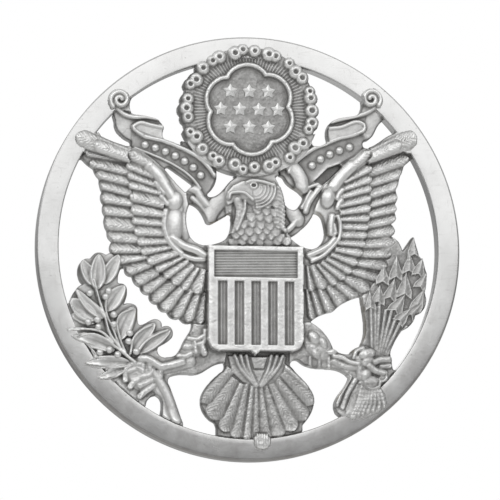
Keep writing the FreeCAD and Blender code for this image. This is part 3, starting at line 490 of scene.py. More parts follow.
def carve_head():
    """The head, its hooked beak and mouth, the hackles behind the cheek, the brow and the eye."""
    DARKEN[window([(-2.3, 0.3), (3.8, 5.0)], 0.1)] += 0.18
    dome((1.1, 5.75), 2.3, 1.45, -8, 1.85, 0.4)
    plate([(0.4, 7.15), (-0.8, 7.0), (-1.75, 6.55), (-2.35, 5.85), (-2.5, 5.2), (-2.3, 4.95),
           (-2.0, 5.45), (-1.5, 5.75), (-0.4, 5.65), (0.4, 5.2)], 2.2, slope=(0.02, 0.05))
    strand([(-2.15, 5.2), (-1.95, 5.7), (-1.2, 5.85), (-0.5, 5.75), (0.0, 5.35), (0.35, 5.05)],
           0.2, 2.05, 0.35)
    turns = np.radians(range(-85, 21, 15))
    for radius in (0.75, 1.1, 1.45, 1.8, 2.15):
        hackle = np.stack([0.55 + radius * np.cos(turns), 6.15 + 0.9 * radius * np.sin(turns)], axis=1)
        strand(hackle, 0.16, 2.05, 0.27)
    strand([(-0.35, 6.85), (0.3, 7.05), (1.4, 6.95), (2.6, 6.6)], 0.19, 2.15, 0.35)
    dome((0.42, 6.5), 0.5, 0.42, 0, 2.1, 0.35, power=0.35)
    groove([(0.36, 6.55), (0.48, 6.55)], 0.22, 0.4)


SHIELD_FACE = 2.6
STRIPES = 5


def sink(height, x, z, sides, levels, floor, wall):
    """Cuts a straight-sided panel down to its floor, with a sloping wall round it."""
    inside = np.minimum(np.minimum(x - sides[0], sides[1] - x), np.minimum(z - levels[0], levels[1] - z))
    sunk = SHIELD_FACE - np.clip(inside / wall, 0, 1) * (SHIELD_FACE - floor)
    return np.where(inside > 0, sunk, height)


def carve_shield():
    """A flat face with a panel of fine lines over a row of sunk stripes."""
    low, high = (np.array(c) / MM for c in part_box("shield"))
    left, right, top, middle = low[0], high[0], high[2], 0.5 * (low[0] + high[0])
    foot = low[2] + 0.4
    where = window([(left, low[2]), (right, top)], 0.1)
    x, z = X[where], Z[where]
    mine = inside_polygon([
        (left, top), (right, top), (right, foot + 1.1), (right - 0.35, foot + 0.35), (right - 1.1, foot),
        (middle + 0.5, foot), (middle, low[2]), (middle - 0.5, foot), (left + 1.1, foot),
        (left + 0.35, foot + 0.35), (left, foot + 1.1),
    ], x, z)
    height = np.full(x.shape, SHIELD_FACE)
    border, crossbar = 0.65, -3.15
    lines = 2.3 + 0.07 * np.sin(2 * math.pi * (z - 0.02 * x) / 0.285)
    height = sink(height, x, z, (left + border, right - border), (crossbar, top - 0.5), lines, 0.1)
    pitch = (right - left - 2 * border) / STRIPES
    for stripe in range(STRIPES):
        start = left + border + (stripe + 0.22) * pitch
        fine = 2.28 + 0.05 * np.sin(2 * math.pi * (x - start) / 0.33)
        height = sink(height, x, z, (start, start + 0.56 * pitch), (foot + 0.6, crossbar - 0.35), fine, 0.12)
    H[where] = np.where(mine, height, H[where])
    DARKEN[where] += np.where(mine & (height < 2.5), 0.16, 0)


# The glory's counts, and the lobed cord: its first cusp's angle, its cusps' radius and its lobes' rise.
GLORY_LOBES = 6
PUFFS = 34
RAYS = 104
FIRST_CUSP = 5.0
CUSP_RADIUS = 4.1
LOBE_RISE = 0.65


def disc_oval():
    """The cloud disc's middle x and z, and half its width and height."""
    low, high = (np.array(c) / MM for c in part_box("glory_disc"))
    middle, half = 0.5 * (low + high), 0.5 * (high - low)
    return middle[0], middle[2], half[0], half[2]


def carve_glory():
    """The sunk field in its lobed cord, the rays round it and the ring of curls."""
    cx, cz, wide, tall = disc_oval()
    where = window([(cx - wide, cz - tall), (cx + wide, cz + tall)], 0.1)
    x, z = X[where] - cx, Z[where] - cz
    oval = np.hypot(x / wide, z / tall)
    angle = np.arctan2(z, x)
    radius = np.hypot(x, z)
    rays = 1.9 + 0.07 * np.cos(RAYS * angle) * np.clip((0.83 - oval) / 0.05, 0, 1)
    rays = rays + 0.14 * np.clip((oval - 0.78) / 0.08, 0, 1)
    distance, _ = near(lobed_cord(cx, cz), X[where], Z[where])
    field = radius < cord_radius(angle)
    height = np.where(field, 1.8 + 0.04 * (1 - (radius / 4.6) ** 2), rays)
    cord = 1.92 + 0.4 * np.sqrt(np.clip(1 - (distance / 0.27) ** 2, 0, None))
    height = np.where(distance < 0.3, np.maximum(height, cord), height)
    H[where] = np.where(oval < 1.02, height, H[where])
    DARKEN[where] += np.where(field & (distance > 0.2), 0.34, 0) + 0.12 * (~field & (oval < 0.84))
    for number, (x_at, z_at, size) in enumerate(cloud_curls()):
        puff((x_at, z_at), size, (0.3 if number % 3 else 0.36) * size)


def cloud_curls():
    """The ring of curls round the disc, in an uneven chain of pairs and singles: (x, z, radius)."""
    cx, cz, wide, tall = disc_oval()
    curls = []
    for number in range(PUFFS):
        turn = 2 * math.pi * (number + 0.22 * math.sin(2.4 * number)) / PUFFS
        size = 0.70 + 0.09 * math.sin(1.9 * number + 0.7)
        sway = 0.985 + 0.02 * math.sin(3.1 * number) - size / wide
        curls.append((cx + wide * sway * math.cos(turn), cz + tall * sway * math.sin(turn), size))
    return curls


def puff(centre, outer, hole):
    """A small curl of cloud: a round lump with a deep dimple."""
    where = window(centre, outer)
    distance = np.hypot(X[where] - centre[0], Z[where] - centre[1])
    lump = 2.1 + 0.45 * np.clip(1 - (distance / outer) ** 4, 0, None)
    lump = lump - 0.34 * np.exp(-(distance / hole) ** 4)
    H[where] = np.where(distance < outer, np.maximum(H[where], lump), H[where])
    H[where] = np.where(distance < 1.3 * hole, lump, H[where])


def cord_radius(angle):
    """How far out the lobed cord runs at an angle."""
    lobes = (angle - math.radians(FIRST_CUSP)) * GLORY_LOBES / (2 * math.pi)
    return CUSP_RADIUS + LOBE_RISE * np.abs(np.sin(math.pi * lobes)) ** 0.8


def lobed_cord(cx, cz):
    """The cord's closed line of lobes between cusps, as points round the field's middle."""
    angles = math.radians(FIRST_CUSP) + np.linspace(0, 2 * math.pi, 12 * GLORY_LOBES + 1)
    radii = cord_radius(angles)
    return np.stack([cx + radii * np.cos(angles), cz + radii * np.sin(angles)], axis=1)


# The outlines of the ribbon's two bands.
BAND_LEFT = [
    (-12.4, 12.2), (-11.0, 11.5), (-9.0, 11.1), (-7.0, 10.4), (-5.5, 9.6), (-4.4, 8.6), (-3.4, 7.4),
    (-4.3, 5.4), (-5.2, 6.0), (-5.7, 7.0), (-6.9, 8.0), (-8.5, 8.9), (-10.4, 9.6), (-12.4, 10.4),
]
BAND_RIGHT = [
    (4.2, 8.1), (5.5, 9.7), (7.0, 10.7), (8.3, 11.2), (9.5, 11.7), (11.0, 12.1), (12.3, 12.6),
    (12.2, 10.9), (11.2, 9.9), (9.9, 9.2), (8.6, 8.4), (7.0, 7.2), (6.0, 6.3),
]


def carve_ribbons():
    """Each side's band with its raised edges, the fold behind it, and the curled end."""
    plate(BAND_LEFT, 1.55, slope=(0.0, 0.03))
    strand([(-12.3, 12.4), (-11.1, 11.6), (-9.0, 11.1), (-7.0, 10.35), (-5.5, 9.55), (-4.4, 8.6),
            (-3.65, 7.6)], 0.26, 1.65, 0.35)
    strand([(-12.0, 10.35), (-10.4, 9.75), (-8.6, 9.0), (-7.0, 8.1), (-5.9, 7.2), (-5.1, 6.2)],
           0.16, 1.5, 0.25)
    plate([(-9.0, 13.1), (-9.6, 13.5), (-12.6, 14.1), (-14.4, 14.3), (-14.4, 13.0), (-14.0, 12.0),
           (-13.3, 11.3), (-12.3, 11.0), (-12.2, 12.4), (-11.2, 12.9), (-9.1, 12.5)], 1.5, slope=(0.0, 0.06))
    strand([(-14.0, 14.4), (-13.6, 13.2), (-12.9, 12.1)], 1.3, 1.5, 0.14)
    strand([(-9.1, 12.5), (-10.4, 12.75), (-11.4, 12.95), (-12.15, 12.55), (-11.9, 12.1), (-11.2, 11.65)],
           0.24, 1.7, 0.4)
    strand([(-9.4, 13.45), (-10.8, 13.6), (-12.2, 13.55), (-13.2, 13.85), (-14.1, 14.6)], 0.28, 1.65, 0.4)
    plate(BAND_RIGHT, 1.55, slope=(0.0, 0.03))
    strand([(12.15, 12.8), (11.2, 12.2), (9.5, 11.75), (8.2, 11.2), (6.8, 10.6), (5.4, 9.6), (4.5, 8.7),
            (4.2, 8.1)], 0.26, 1.65, 0.35)
    strand([(4.5, 8.7), (5.1, 8.0), (5.5, 7.2), (5.6, 6.5)], 0.75, 1.6, 0.4)
    plate([(8.3, 13.0), (9.2, 13.8), (11.5, 14.1), (13.6, 15.0), (14.3, 14.4), (14.0, 13.0), (13.2, 11.9),
           (12.2, 11.1), (12.3, 13.0), (11.4, 13.6), (8.6, 12.7)], 1.5, slope=(0.0, 0.05))
    strand([(13.2, 14.8), (13.1, 13.6), (12.6, 12.3)], 0.8, 1.55, 0.16)
    strand([(8.5, 12.75), (9.8, 12.95), (11.2, 13.5), (12.05, 13.3), (12.15, 12.7), (11.5, 12.3)],
           0.24, 1.7, 0.4)
    strand([(8.7, 13.5), (10.0, 13.85), (11.4, 14.15), (12.6, 14.6), (13.5, 15.2)], 0.28, 1.65, 0.4)
    carve_beads()
    dome((-13.6, 15.3), 1.1, 1.1, 0, 1.9, 0.1)
    spiral((-13.6, 15.25), 1.05, 0.2, 225, -1.55, 0.27, 2.1, 0.42)
    dome((12.85, 15.85), 1.1, 1.1, 0, 1.9, 0.1)
    spiral((12.85, 15.9), 1.05, 0.2, -40, 1.55, 0.27, 2.1, 0.42)
    carve_ribbon_tails()


def carve_beads():
    """A plain row of beads along each band."""
    for points in (
        [(-11.2, 10.75), (-9.3, 10.2), (-7.4, 9.4), (-5.7, 8.25), (-4.6, 7.0)],
        [(10.9, 10.95), (9.4, 10.4), (7.9, 9.75), (6.6, 8.8)],
    ):
        line = curve(points, steps=40)
        run = np.concatenate([[0], np.cumsum(np.hypot(*np.diff(line, axis=0).T))])
        for distance in np.arange(0.3, run[-1], 1.12):
            place = (np.interp(distance, run, line[:, 0]), np.interp(distance, run, line[:, 1]))
            dome(place, 0.42, 0.42, 0, 1.62, 0.34)
    for band in (BAND_LEFT, BAND_RIGHT):
        where = window(band, 0.0)
        inside = inside_polygon(band, X[where], Z[where])
        ground = H[where] < 1.68
        DARKEN[where] += np.where(inside, np.where(ground, 0.24, -0.12), 0.0)


def carve_ribbon_tails():
    """The ribbon's folds that run from the bands in behind the neck."""
    strand([(-6.2, 6.3), (-5.4, 5.9), (-5.0, 5.2), (-4.3, 4.4)], 0.45, 1.45, 0.3)
    strand([(-5.9, 5.2), (-5.3, 4.6), (-4.7, 3.8)], 0.3, 1.4, 0.3)
    strand([(-4.4, 2.9), (-3.9, 3.9), (-3.3, 4.7), (-2.7, 5.4)], 0.85, 1.4, 0.4)
    strand([(-2.5, 5.0), (-2.3, 4.3), (-2.2, 3.7)], 0.28, 1.3, 0.3)
    strand([(5.9, 6.2), (6.5, 6.6), (7.3, 6.9)], 0.22, 1.5, 0.35)
    strand([(7.5, 6.6), (6.9, 5.8), (6.3, 4.9), (6.0, 4.0)], 0.34, 1.5, 0.4)
    strand([(6.5, 6.1), (6.0, 5.2), (5.6, 4.4)], 0.25, 1.45, 0.35)
    strand([(4.0, 4.6), (4.6, 3.9), (5.1, 3.1)], 0.8, 1.4, 0.38)
    strand([(5.0, 3.0), (4.6, 2.5), (4.1, 2.0)], 0.35, 1.5, 0.3)


def carve_branch():
    """The leaves, and the stems that run between them."""
    for base, tip, half, level, bow in (
        ((-15.2, -4.0), (-13.6, -0.9), 0.75, 1.55, 0.0), ((-16.1, -4.2), (-17.5, -1.5), 0.7, 1.55, 0.0),
        ((-15.9, -4.6), (-15.7, -0.9), 0.85, 1.7, 0.0), ((-15.9, -7.9), (-18.6, -7.3), 0.6, 1.5, 0.0),
        ((-15.9, -7.7), (-18.7, -5.6), 0.9, 1.7, 0.1), ((-15.2, -7.6), (-18.1, -4.6), 0.55, 1.85, 0.15),
        ((-14.9, -6.8), (-13.0, -4.1), 0.85, 1.6, 0.1), ((-13.7, -9.8), (-12.0, -6.3), 0.95, 1.6, 0.15),
        ((-12.3, -10.9), (-9.8, -8.0), 0.72, 1.6, 0.1), ((-11.7, -11.1), (-8.2, -8.7), 0.72, 1.55, 0.05),
        ((-14.0, -10.9), (-18.7, -9.6), 0.75, 1.7, -0.35), ((-12.4, -12.2), (-17.1, -12.3), 0.7, 1.7, -0.15),
        ((-12.7, -12.5), (-15.7, -13.8), 0.6, 1.65, 0.0), ((-15.8, -11.9), (-17.3, -10.3), 0.35, 1.8, 0.0),
    ):
        leaf(base, tip, 1.1 * half, level, 0.42, bow)
    for points, half in (
        ([(-11.9, -12.1), (-13.2, -10.95), (-14.5, -9.2), (-15.1, -7.3), (-15.8, -5.2), (-16.2, -3.6)], 0.2),
        ([(-12.2, -11.9), (-13.6, -10.8), (-15.0, -9.7), (-16.4, -9.2), (-17.9, -9.6)], 0.18),
        ([(-14.2, -10.1), (-15.4, -9.0), (-17.0, -8.7), (-18.9, -8.8)], 0.19),
        ([(-13.3, -11.0), (-14.1, -9.0), (-14.9, -7.0), (-14.95, -5.6)], 0.15),
        ([(-12.9, -11.1), (-13.5, -9.6), (-13.8, -8.0), (-13.4, -7.1), (-12.1, -6.5)], 0.15),
        ([(-15.2, -7.0), (-16.2, -6.0), (-17.6, -5.0)], 0.16),
        ([(-12.4, -11.2), (-12.1, -9.6), (-11.2, -8.7), (-10.2, -8.2)], 0.17),
        ([(-11.8, -11.2), (-10.8, -9.9), (-9.5, -9.1), (-8.5, -8.7)], 0.17),
    ):
        strand(points, half, 1.85, 0.3, taper=0.3)


def carve_left_claw():
    """The leg and claw that hold the branch, the branch's cut end, and the thigh."""
    dome((-11.2, -13.4), 2.2, 1.6, -35, 1.6, 0.35)
    dome((-5.9, -10.3), 1.9, 1.2, 20, 1.6, 0.3)
    strand([(-6.2, -11.9), (-7.4, -12.2), (-9.2, -12.7)], 0.7, 1.55, 0.3)
    strand([(-7.0, -12.0), (-8.3, -12.35), (-9.2, -12.5), (-9.9, -12.1), (-10.6, -11.75), (-11.3, -11.7)],
           0.46, 1.7, 0.45)
    for points in (
        [(-12.9, -13.9), (-12.85, -12.9), (-12.3, -12.35), (-11.3, -12.3)],
        [(-12.5, -13.0), (-11.8, -12.75), (-11.2, -12.85)],
        [(-12.1, -13.9), (-11.2, -13.6), (-10.3, -13.35)], [(-11.4, -14.5), (-10.7, -14.2), (-10.1, -13.9)],
        [(-11.1, -15.3), (-10.4, -14.8), (-10.0, -14.5)], [(-11.1, -12.4), (-11.1, -13.1)],
        [(-10.4, -12.3), (-10.3, -13.1)], [(-12.4, -14.6), (-12.0, -14.1), (-11.6, -13.9)],
        [(-11.4, -15.6), (-10.9, -15.2)],
    ):
        strand(points, 0.34, 1.75, 0.28)
    strand([(-10.1, -13.0), (-9.2, -14.3), (-8.5, -15.6), (-8.0, -17.0), (-7.6, -18.0)], 0.55, 1.6, 0.4)
    strand([(-10.1, -14.2), (-9.3, -15.5), (-8.9, -16.8), (-8.6, -18.0)], 0.4, 1.55, 0.3)
    strand([(-9.3, -12.8), (-9.3, -13.6)], 0.4, 1.65, 0.35)
    for points, half in (
        ([(-6.4, -9.5), (-5.5, -9.6), (-4.7, -9.2)], 0.26),
        ([(-4.6, -8.7), (-4.7, -9.8), (-5.3, -10.1)], 0.286),
        ([(-6.9, -10.3), (-6.2, -10.4)], 0.416), ([(-5.7, -10.0), (-5.6, -10.9)], 0.286),
        ([(-7.4, -11.3), (-6.7, -11.4), (-6.1, -11.1)], 0.312), ([(-5.0, -10.1), (-4.7, -11.0)], 0.39),
    ):
        strand(points, half, 1.75, 0.3)


def carve_right_claw():
    """The thigh, leg and claw that hold the arrows."""
    dome((7.2, -10.0), 1.8, 1.3, -50, 1.6, 0.3)
    dome((6.8, -9.3), 0.85, 0.6, -50, 1.7, 0.5)
    dome((7.75, -9.8), 0.75, 0.45, -60, 1.65, 0.45)
    dome((8.7, -10.75), 0.65, 0.35, 5, 1.65, 0.45)
    dome((7.0, -10.9), 0.7, 0.5, -50, 1.6, 0.35)
    dome((6.6, -10.2), 0.6, 0.4, 0, 1.55, 0.35)
    for x in (6.4, 7.4, 8.4):
        strand([(x, -11.3), (x, -12.4)], 0.28, 1.45, 0.3)
    strand([(8.9, -11.15), (9.8, -11.35), (10.6, -11.75), (11.5, -11.9)], 0.26, 1.7, 0.4)
    strand([(9.0, -11.7), (10.0, -12.1), (11.2, -12.3), (12.0, -12.4)], 0.45, 1.45, 0.35)
    strand([(11.0, -11.3), (11.3, -10.6), (12.0, -10.3)], 0.24, 1.62, 0.3)
    strand([(11.5, -11.4), (11.6, -12.3), (11.7, -13.3)], 0.42, 1.6, 0.3)
    dome((13.1, -12.3), 2.0, 1.9, 0, 1.6, 0.15)
    dome((12.4, -10.9), 0.95, 0.6, 15, 1.75, 0.45)
    dome((12.45, -11.65), 0.75, 0.5, 30, 1.75, 0.4)
    strand([(13.2, -11.75), (13.8, -11.5), (14.7, -11.45)], 0.4, 1.7, 0.42)
    strand([(12.6, -12.1), (13.2, -12.6), (14.1, -12.9)], 0.42, 1.75, 0.42)
    strand([(13.9, -12.2), (14.7, -12.1)], 0.33, 1.65, 0.4)
    dome((12.3, -13.1), 0.75, 0.6, 60, 1.7, 0.42)
    dome((12.9, -13.9), 1.0, 0.8, 0, 1.7, 0.45)
    dome((14.0, -13.45), 0.65, 0.42, 30, 1.65, 0.4)


# Each arrow head's point, the middle of its shoulders, and half its width.
ARROW_HEADS = [
    ((17.45, 1.6), (17.45, -0.15), 0.75), ((15.6, -0.5), (15.5, -2.5), 0.75),
    ((17.0, -0.2), (16.9, -1.9), 0.75), ((18.4, -0.6), (17.9, -2.2), 0.7),
    ((14.25, -1.5), (14.1, -3.1), 0.75), ((16.6, -2.2), (16.4, -4.3), 0.85),
    ((18.8, -2.2), (18.1, -3.6), 0.7), ((15.4, -2.8), (14.9, -4.7), 0.75),
    ((13.8, -3.6), (13.6, -5.2), 0.8), ((18.5, -3.9), (17.7, -5.7), 0.7),
    ((16.5, -4.5), (15.5, -6.1), 0.85), ((12.7, -4.3), (12.8, -5.8), 0.6),
    ((18.3, -5.4), (17.2, -6.6), 0.65), ((17.1, -6.0), (16.0, -7.2), 0.7),
]
# Each shaft's x at its foot, and the x and z of its top.
SHAFTS = [
    (12.95, 12.85, -6.0), (13.3, 13.3, -6.0), (13.45, 13.75, -5.6), (13.65, 14.4, -6.3),
    (13.85, 15.0, -6.4), (14.05, 15.5, -6.9), (14.3, 16.0, -7.4), (14.5, 16.6, -8.0),
]
SHAFT_FOOT = -11.0


def carve_arrows():
    """The shafts and heads, and the vanes below the claw, which run out over the ring."""
    for foot_x, top_x, top_z in SHAFTS:
        strand([(foot_x, SHAFT_FOOT), (top_x, top_z)], 0.24, 1.5, 0.32)
    for point, shoulders, half in ARROW_HEADS:
        arrow_head(shoulders, point, half)
    bundle = window([(12.0, -14.0), (19.0, 2.0)], 0.1)
    DARKEN[bundle] += 0.24 * (X[bundle] > 12.3) * (Z[bundle] < X[bundle] * 0.9 - 13.2)
    for number in range(5):
        x, z = 10.6 + 0.58 * number, -13.3 - 0.3 * number
        strand([(x, z), (x - 0.75, z - 1.3), (x - 1.4, z - 2.9)], 0.29, 1.58, 0.28)
    plate([(11.3, -14.0), (13.7, -14.3), (14.4, -15.3), (14.5, -16.2), (13.6, -17.0), (12.3, -17.6),
           (10.9, -17.9), (9.9, -17.4)], 1.74)
    for number in range(8):
        x = 11.9 + 0.24 * number
        fan = 0.06 * number ** 1.5
        strand([(x, -14.2), (x - 0.6 + fan, -16.0), (x - 1.3 + 1.7 * fan, -17.8 + 0.2 * number)],
               0.21, 1.72, 0.16, band=0.42)
    DARKEN[window([(9.8, -17.9), (14.6, -14.0)], 0.1)] += 0.16


def arrow_head(base, tip, half):
    """A two-sided blade: a sharp middle ridge, two slopes and raised barbed shoulders."""
    where, along, u, length = lengthways(base, tip, half + 0.2)
    t = along / length
    width = half * np.clip(1.02 - t, 0, 1)
    skirt = -0.12 - 0.25 * np.abs(u) / half
    inside = (np.abs(u) < width) & (t > skirt)
    q = np.abs(u) / (width + 1e-6)
    height = 1.62 + 0.24 * (1 - q) + 0.14 * np.exp(-((q - 0.88) / 0.14) ** 2)
    height = height + 0.18 * np.exp(-((t - skirt) * length / 0.14) ** 2)
    H[where] = np.where(inside, height, H[where])


TAIL = [
    (-2.1, -12.2, -4.8, -14.9), (-1.9, -13.4, -4.6, -16.9), (-1.2, -14.2, -3.1, -18.3),
    (-0.5, -14.4, -2.0, -19.5), (0.1, -14.4, -0.7, -19.8), (0.6, -14.4, 0.3, -19.9),
    (1.05, -14.4, 1.25, -20.0), (1.5, -14.4, 2.4, -19.8), (2.0, -14.3, 3.9, -19.2),
    (2.6, -13.9, 5.3, -18.3), (3.1, -13.2, 6.4, -16.9), (3.8, -12.4, 6.9, -14.9),
]


def carve_tail():
    """The fan of tail feathers, its coverts, and the ribbed boss on the ring."""
    middle = 1.05
    feathers(TAIL[:7], 1.36, 0.22, -0.25, barb_depth=0.035)
    feathers(TAIL[6:], 1.36, 0.22, 0.25, barb_depth=0.035)
    strand([(3.6, -12.2), (4.9, -13.3), (6.1, -14.4)], 0.3, 1.45, 0.3)
    plate([(-2.2, -11.2), (-1.8, -12.9), (-0.6, -14.0), (1.05, -14.6), (2.7, -14.0), (3.6, -12.9),
           (4.0, -11.2)], 1.5)
    for shift in (-2.5, -1.9, -1.3, 1.3, 1.9, 2.5):
        strand([(middle + shift, -11.2), (middle + 0.75 * shift, -12.6), (middle + 0.15 * shift, -14.3)],
               0.24, 1.4, 0.32)
    plate([(0.15, -11.3), (1.95, -11.3), (1.6, -12.55), (0.5, -12.55)], 1.72)
    plate([(0.35, -12.65), (1.75, -12.65), (middle, -14.3)], 1.66)
    dome((1.3, -20.2), 0.95, 0.85, 0, 2.0, 0.4, power=0.3)
    DARKEN[window([(-5.5, -20), (7.5, -11.2)], 0.1)] += 0.2
    for number in range(5):
        x = 0.8 + 0.25 * number
        strand([(x, -19.4), (x, -20.7)], 0.09, 2.25, 0.2)


def fade_edges():
    """Rounds every outer edge and each edge on an opening, and keeps the figures above the ring."""
    cover = np.zeros(X.shape)
    solid = label != EMPTY
    cover[:-1, :-1] += solid
    cover[1:, :-1] += solid
    cover[:-1, 1:] += solid
    cover[1:, 1:] += solid
    H[...] -= 0.45 * np.clip(1 - blur(cover / 4, 0.07), 0, 0.6)
    over = R > RIM_BORE
    H[over] = np.maximum(H[over], RIM_DEPTH + 0.01)


def lift_over_rim():
    """Raises what runs out over the ring, so that it stands on the ring's face."""
    rise = np.clip((R - RIM_BORE + 1.2) / 1.4, 0, 1)
    rise = rise * rise * (3 - 2 * rise)
    high_already = (H > 2.0) | (Z > 8)
    H[...] += np.where(high_already, 0.1, 0.42) * rise


def trim_over_rim():
    """Leaves out the cells over the ring that no feature covers."""
    heights = (H[:-1, :-1] + H[1:, 1:]) / 2
    radius = (R[:-1, :-1] + R[1:, 1:]) / 2
    label[(radius > RIM_BORE + 0.15) & (heights < RIM_DEPTH + 0.03) & (label != EMPTY)] = EMPTY


def scallop_disc():
    """Cuts the cloud ring's outline back to its curls, where it stands free or on the ring."""
    cx, cz, wide, tall = disc_oval()
    x, z = X[:-1, :-1] + STEP / 2, Z[:-1, :-1] + STEP / 2
    keep = np.hypot((x - cx) / wide, (z - cz) / tall) < 0.945
    for x_at, z_at, size in cloud_curls():
        keep |= np.hypot(x - x_at, z - z_at) < size + 0.03
    label[(label == figures.index("glory_disc")) & ~keep & (z > cz - 0.35 * tall)] = EMPTY


def roughen():
    """The slight unevenness of a cast and worn surface."""
    grain = np.random.default_rng(7).standard_normal(H.shape)
    fine, broad = blur(grain, 0.07), blur(grain[::-1], 0.25)
    rough = np.ones(H.shape)
    for number, node in enumerate(figures):
        if node.startswith(("ribbon", "scroll", "shield", "leaves", "branch", "wing_arm", "eagle")):
            rough[:-1, :-1][label == number] = 0.35
    H[...] += blur(rough, 0.1) * (0.01 * fine / fine.std() + 0.018 * broad / broad.std())


def carve_hollow():
    """The deep hollow under the right band, darkened with painted shade."""
    outline = [(6.95, 7.2), (7.75, 6.85), (8.7, 7.6), (9.8, 8.75), (9.6, 9.05), (8.4, 8.6)]
    floor = 0.6
    where = window(outline, 0.2)
    inside = inside_polygon(outline, X[where], Z[where])
    H[where] = np.where(inside, floor, H[where])
    # Painted shade: the hollow is darkened to stand in for the shade seen through this opening.
    DARKEN[where] += 0.6 * inside


close_notch([(-14.0, 12.6), (-13.75, 12.0), (-13.4, 11.68), (-12.95, 11.5), (-12.5, 11.6), (-12.7, 12.5)],
            "scroll_left")
carve_tail()
carve_wings()
carve_ribbons()
carve_branch()
carve_left_claw()
carve_arrows()
carve_right_claw()
carve_body()
carve_shield()
carve_glory()
carve_hollow()
H[...] = blur(H, 0.03)
roughen()
lift_over_rim()
trim_over_rim()
scallop_disc()


# ---------------------------------------------------------------- tarnish and painted shade

BASE_TARNISH = 0.46
HOLLOWS = ((0.09, 2.6), (0.25, 2.2), (0.8, 0.3))


def tarnish_and_shade():
    """How dark each cell is, from 0 on crests to 1 in hollows: tarnish, with the painted shade that DARKEN
    holds for the hollow under the right band. HOLLOWS gives how wide a surrounding each cell is compared
    with, and how much darker a millimetre below it is."""
    heights = (H[:-1, :-1] + H[1:, :-1] + H[:-1, 1:] + H[1:, 1:]) / 4
    middle = (np.arange(CELLS) + 0.5) * STEP - HALF
    radius = np.hypot(middle[None], middle[:, None])
    ring = (label == EMPTY) & (radius > RIM_BORE) & (radius < RIM_RADIUS)
    heights = np.where(ring, RIM_DEPTH, heights)
    present = ((label != EMPTY) | ring).astype(float)
    dark = BASE_TARNISH + (DARKEN[:-1, :-1] + DARKEN[1:, 1:]) / 2
    for sigma, gain in HOLLOWS:
        around = blur(heights * present, sigma) / np.maximum(blur(present, sigma), 1e-3)
        dark += gain * (around - heights) * present
    return np.clip(dark, 0, 1)


dark_cell = tarnish_and_shade()
fade_edges()


# ---------------------------------------------------------------- pieces

def make_object(name, points, faces, smooth=True):
    """A new object of those points in metres. smooth is one truth value, or one for each face."""
    mesh = bpy.data.meshes.new(name)
    mesh.from_pydata(points, [], faces)
    mesh.polygons.foreach_set("use_smooth", np.broadcast_to(smooth, len(faces)).copy())
    obj = bpy.data.objects.new(name, mesh)
    bpy.context.scene.collection.objects.link(obj)
    return obj


def set_tarnish_and_shade(obj, value):
    """Stores how dark each point is, from tarnish and any painted shade, for the relief's material."""
    attribute = obj.data.attributes.new("tarnish_and_shade", "FLOAT", "POINT")
    attribute.data.foreach_set("value", value.astype(np.float32))


def make_figure(node, number):
    """The node's cells as a closed piece: carved front, walls and back. Over the ring, its back lies
    just under the ring's face."""
    rows, columns = np.nonzero(label == number)
    width = CELLS + 1
    a = rows * width + columns
    quads = np.stack([a, a + 1, a + 1 + width, a + width], axis=1)
    used, index = np.unique(quads, return_inverse=True)
    quads = index.reshape(-1, 4)
    count = len(used)
    x, z, h = X.flat[used], Z.flat[used], H.flat[used]
    over = np.hypot(x, z) > RIM_BORE - 0.6 * STEP
    back = np.where(over, -(RIM_DEPTH - 0.04), 0.0)
    sides = np.stack([quads, np.roll(quads, -1, axis=1)], axis=2).reshape(-1, 2)
    key, reverse = sides @ (count, 1), sides @ (1, count)
    border = sides[~np.isin(key, reverse)]
    walls = np.stack([border[:, 1], border[:, 0], border[:, 0] + count, border[:, 1] + count], axis=1)
    faces = np.concatenate([quads, quads[:, ::-1] + count, walls])
    points = np.concatenate([np.stack([x, -h, z], axis=1), np.stack([x, back, z], axis=1)]) * MM
    front = np.arange(len(faces)) < len(quads)
    figure = make_object(node + "_relief", points.tolist(), faces.tolist(), smooth=front)
    shade, hits = np.zeros(count), np.zeros(count)
    for column in quads.T:
        np.add.at(shade, column, dark_cell[rows, columns])
        np.add.at(hits, column, 1)
    set_tarnish_and_shade(figure, np.concatenate([shade / hits, np.full(count, 0.6)]))
    finish_piece(figure, relief_silver, ROOT_BODY, node)


def turned(name, profile, segments, centre=(0.0, 0.0), shape=None):
    """A closed ring or stud turned about the Y axis from a closed profile of (radius, y). shape gives
    the true radius at an angle, from the profile's radius and y."""
    points, faces = [], []
    for number in range(segments):
        angle = 2 * math.pi * number / segments
        for radius, y in profile:
            if shape:
                radius = shape(angle, radius, y)
            points.append((
                (centre[0] + radius * math.cos(angle)) * MM, y * MM,
                (centre[1] + radius * math.sin(angle)) * MM,
            ))
    size = len(profile)
    for number in range(segments):
        following = (number + 1) % segments
        for k in range(size):
            j = (k + 1) % size
            faces.append((number * size + k, number * size + j, following * size + j, following * size + k))
    obj = make_object(name, points, faces)
    bm = bmesh.new()
    bm.from_mesh(obj.data)
    bmesh.ops.remove_doubles(bm, verts=bm.verts, dist=1e-7)
    bmesh.ops.recalc_face_normals(bm, faces=bm.faces)
    bm.to_mesh(obj.data)
    bm.free()
    return obj


def smooth_by_angle(obj, degrees):
    """Keeps the edges sharp where faces meet at more than that angle."""
    bm = bmesh.new()
    bm.from_mesh(obj.data)
    limit = math.radians(degrees)
    for edge in bm.edges:
        edge.smooth = len(edge.link_faces) == 2 and edge.calc_face_angle(0) < limit
    bm.to_mesh(obj.data)
    bm.free()


def finish_piece(obj, material, body, node):
    """Gives a piece its material, hangs it under its body, and hides the CAD part it stands for."""
    obj.data.materials.append(material)
    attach(obj, body)
    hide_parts(node)


# ---------------------------------------------------------------- materials

def new_material(name):
    """A material, its node tree and its shader."""
    material = bpy.data.materials.new(name)
    material.use_nodes = True
    tree = material.node_tree
    return material, tree, tree.nodes["Principled BSDF"]


